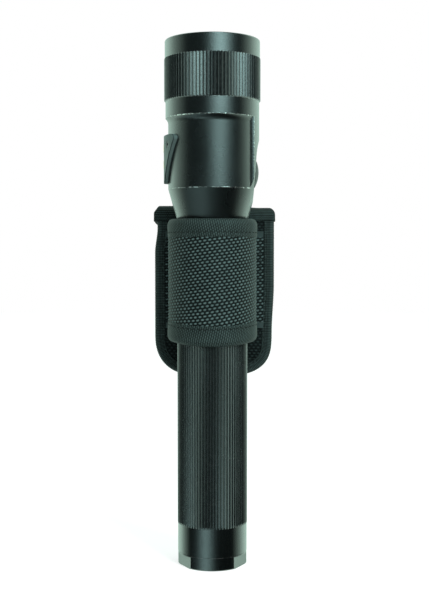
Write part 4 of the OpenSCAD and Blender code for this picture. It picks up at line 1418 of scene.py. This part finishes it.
def make_world():
    """White for the camera and through glass. Reflections see pale sides, a dark room in front, and
    two soft windows in it: one high on the right and one low on the left over a dim wall. Surfaces
    get a light that is stronger from behind than from in front."""
    world = bpy.data.worlds.new("studio")
    world.use_nodes = True
    world.node_tree.nodes.clear()
    build = Shader(world.node_tree)
    way = build.tree.nodes.new("ShaderNodeTexCoord").outputs["Generated"]
    east, north, up = build.axes(way)
    azimuth = build.math("ARCTAN2", east, build.product(north, -1.0))

    def side(turned, start, end):
        """One pale side: rises between two azimuths, and fades again towards the back."""
        rise = build.spread(turned, start, end, 0.0, 1.0)
        fade = build.spread(turned, math.radians(128), math.radians(172), 1.0, 0.36)
        return build.product(rise, fade)

    left_start = build.spread(up, -0.2, 0.0, math.radians(82), math.radians(66))
    left_side = side(build.product(azimuth, -1.0), left_start, math.radians(122))
    right_side = side(azimuth, math.radians(72), math.radians(118))
    sides = build.product(build.math("MAXIMUM", left_side, right_side), 2.35)

    def window(centre, width, bottom, top, level):
        """A soft upright window: a bell curve across, and a ramp towards its brighter end."""
        turned = build.math("SUBTRACT", azimuth, math.radians(centre))
        away = build.math("DIVIDE", turned, math.radians(width))
        bell = build.math("EXPONENT", build.product(away, away, -1.0))
        reach = build.spread(up, bottom, top, 0.0, 1.0)
        return build.product(bell, reach, level)

    high_window = window(20, 20, 0.028, 0.19, 8.0)
    sill = build.spread(up, -0.34, -0.4, 1.0, 0.0)
    low_window = build.product(window(-22, 22, -0.16, -0.25, 3.1), sill)
    low_wall = window(-62, 34, -0.3, -0.4, 0.85)
    room = build.spread(up, -0.15, 0.05, 0.02, 0.13)
    seen = sides
    for light in (high_window, low_window, low_wall, room):
        seen = build.math("ADD", seen, light)

    path = build.tree.nodes.new("ShaderNodeLightPath")
    straight = build.math("ADD", path.outputs["Is Camera Ray"],
                          path.outputs["Is Transmission Ray"], True)
    glossy = path.outputs["Is Glossy Ray"]
    even = build.math("SUBTRACT", 1.0, build.math("ADD", straight, glossy, True))
    soft = build.spread(north, -0.6, 0.8, 0.22, 0.95)
    strength = build.math("ADD", straight, build.product(glossy, seen))
    strength = build.math("ADD", strength, build.product(even, soft))
    background = build.tree.nodes.new("ShaderNodeBackground")
    pale = build.math("DIVIDE", sides, build.math("ADD", seen, 0.001))
    reflected = build.mix(pale, (0.64, 1.0, 0.98), (0.72, 1.0, 0.86))
    tint = build.mix(glossy, (0.86, 1.0, 0.95), reflected)
    tint = build.mix(straight, tint, (1.0, 1.0, 1.0))
    build.tree.links.new(tint, background.inputs["Color"])
    build.tree.links.new(strength, background.inputs["Strength"])
    output = build.tree.nodes.new("ShaderNodeOutputWorld")
    build.tree.links.new(background.outputs[0], output.inputs["Surface"])
    bpy.context.scene.world = world


def make_lamp(name, azimuth, distance, height, size, power):
    """A soft square lamp on a circle round the light's axis, aimed at the head."""
    data = bpy.data.lights.new(name, "AREA")
    data.shape, data.size, data.energy = "SQUARE", size, power
    lamp = bpy.data.objects.new(name, data)
    place = Vector((distance * math.sin(azimuth), -distance * math.cos(azimuth), height))
    aim = Vector((0.0, 0.0, 0.12)) - place
    lamp.matrix_world = Matrix.Translation(place) @ aim.to_track_quat("-Z", "Y").to_matrix().to_4x4()
    bpy.context.scene.collection.objects.link(lamp)
    return lamp


class FLASHLIGHT_OT_stage(bpy.types.Operator):
    """Set up the camera, the floor, the world and two soft lamps"""
    bl_idname = "flashlight.stage"
    bl_label = "Set the stage"

    def execute(self, context):
        studio = context.scene.flashlight_studio
        camera_data = bpy.data.cameras.new("camera")
        camera_data.lens = studio.camera_lens
        camera_data.sensor_width = 36.0
        camera_data.sensor_fit = "AUTO"
        camera_data.clip_start = 0.01
        camera = bpy.data.objects.new("camera", camera_data)
        place = (studio.camera_offset, -studio.camera_distance, studio.camera_height)
        tilt = Matrix.Rotation(math.radians(90) - studio.camera_pitch, 4, "X")
        camera.matrix_world = Matrix.Translation(place) @ tilt
        context.scene.collection.objects.link(camera)
        context.scene.camera = camera
        context.scene.view_settings.view_transform = "Standard"
        make_world()
        power = studio.lamp_power
        lamps = [
            make_lamp("lamp_right", math.radians(34), 0.8, 0.5, 0.3, 5.0 * power),
            make_lamp("lamp_left", math.radians(-30), 0.9, 0.0, 0.3, 1.2 * power),
        ]
        for lamp in lamps:
            lamp.visible_glossy = False
        make_floor()
        return {"FINISHED"}


class FLASHLIGHT_PT_panel(bpy.types.Panel):
    """Settings and building steps of the flashlight"""
    bl_idname = "FLASHLIGHT_PT_panel"
    bl_label = "Flashlight"
    bl_space_type = "VIEW_3D"
    bl_region_type = "UI"
    bl_category = "Flashlight"

    def draw(self, context):
        layout = self.layout
        for title, group in (("Holder cloth", context.scene.holder_cloth),
                             ("Colours", context.scene.flashlight_colours),
                             ("Studio", context.scene.flashlight_studio)):
            box = layout.box()
            box.label(text=title)
            for key in group.bl_rna.properties.keys():
                if key not in {"rna_type", "name"}:
                    box.prop(group, key)
        column = layout.column(align=True)
        for operator in OPERATORS:
            column.operator(operator.bl_idname)


GROUP_CLASSES = (HolderCloth, FlashlightColours, StudioSettings)
OPERATORS = (
    FLASHLIGHT_OT_metal,
    FLASHLIGHT_OT_mouldings,
    FLASHLIGHT_OT_optics,
    FLASHLIGHT_OT_ring,
    FLASHLIGHT_OT_panel,
    FLASHLIGHT_OT_belt_loop,
    FLASHLIGHT_OT_stage,
)


def register():
    """Adds the settings, the operators and the panel."""
    for item in (*GROUP_CLASSES, *OPERATORS, FLASHLIGHT_PT_panel):
        bpy.utils.register_class(item)
    scene = bpy.types.Scene
    scene.holder_cloth = PointerProperty(type=HolderCloth)
    scene.flashlight_colours = PointerProperty(type=FlashlightColours)
    scene.flashlight_studio = PointerProperty(type=StudioSettings)


def unregister():
    """Removes what register added."""
    scene = bpy.types.Scene
    del scene.flashlight_studio, scene.flashlight_colours, scene.holder_cloth
    for item in reversed((*GROUP_CLASSES, *OPERATORS, FLASHLIGHT_PT_panel)):
        bpy.utils.unregister_class(item)


def main():
    """Builds everything in order."""
    register()
    bpy.ops.flashlight.metal()
    bpy.ops.flashlight.mouldings()
    bpy.ops.flashlight.optics()
    bpy.ops.flashlight.ring()
    bpy.ops.flashlight.panel()
    bpy.ops.flashlight.belt_loop()
    bpy.ops.flashlight.stage()


if __name__ == "__main__":
    main()
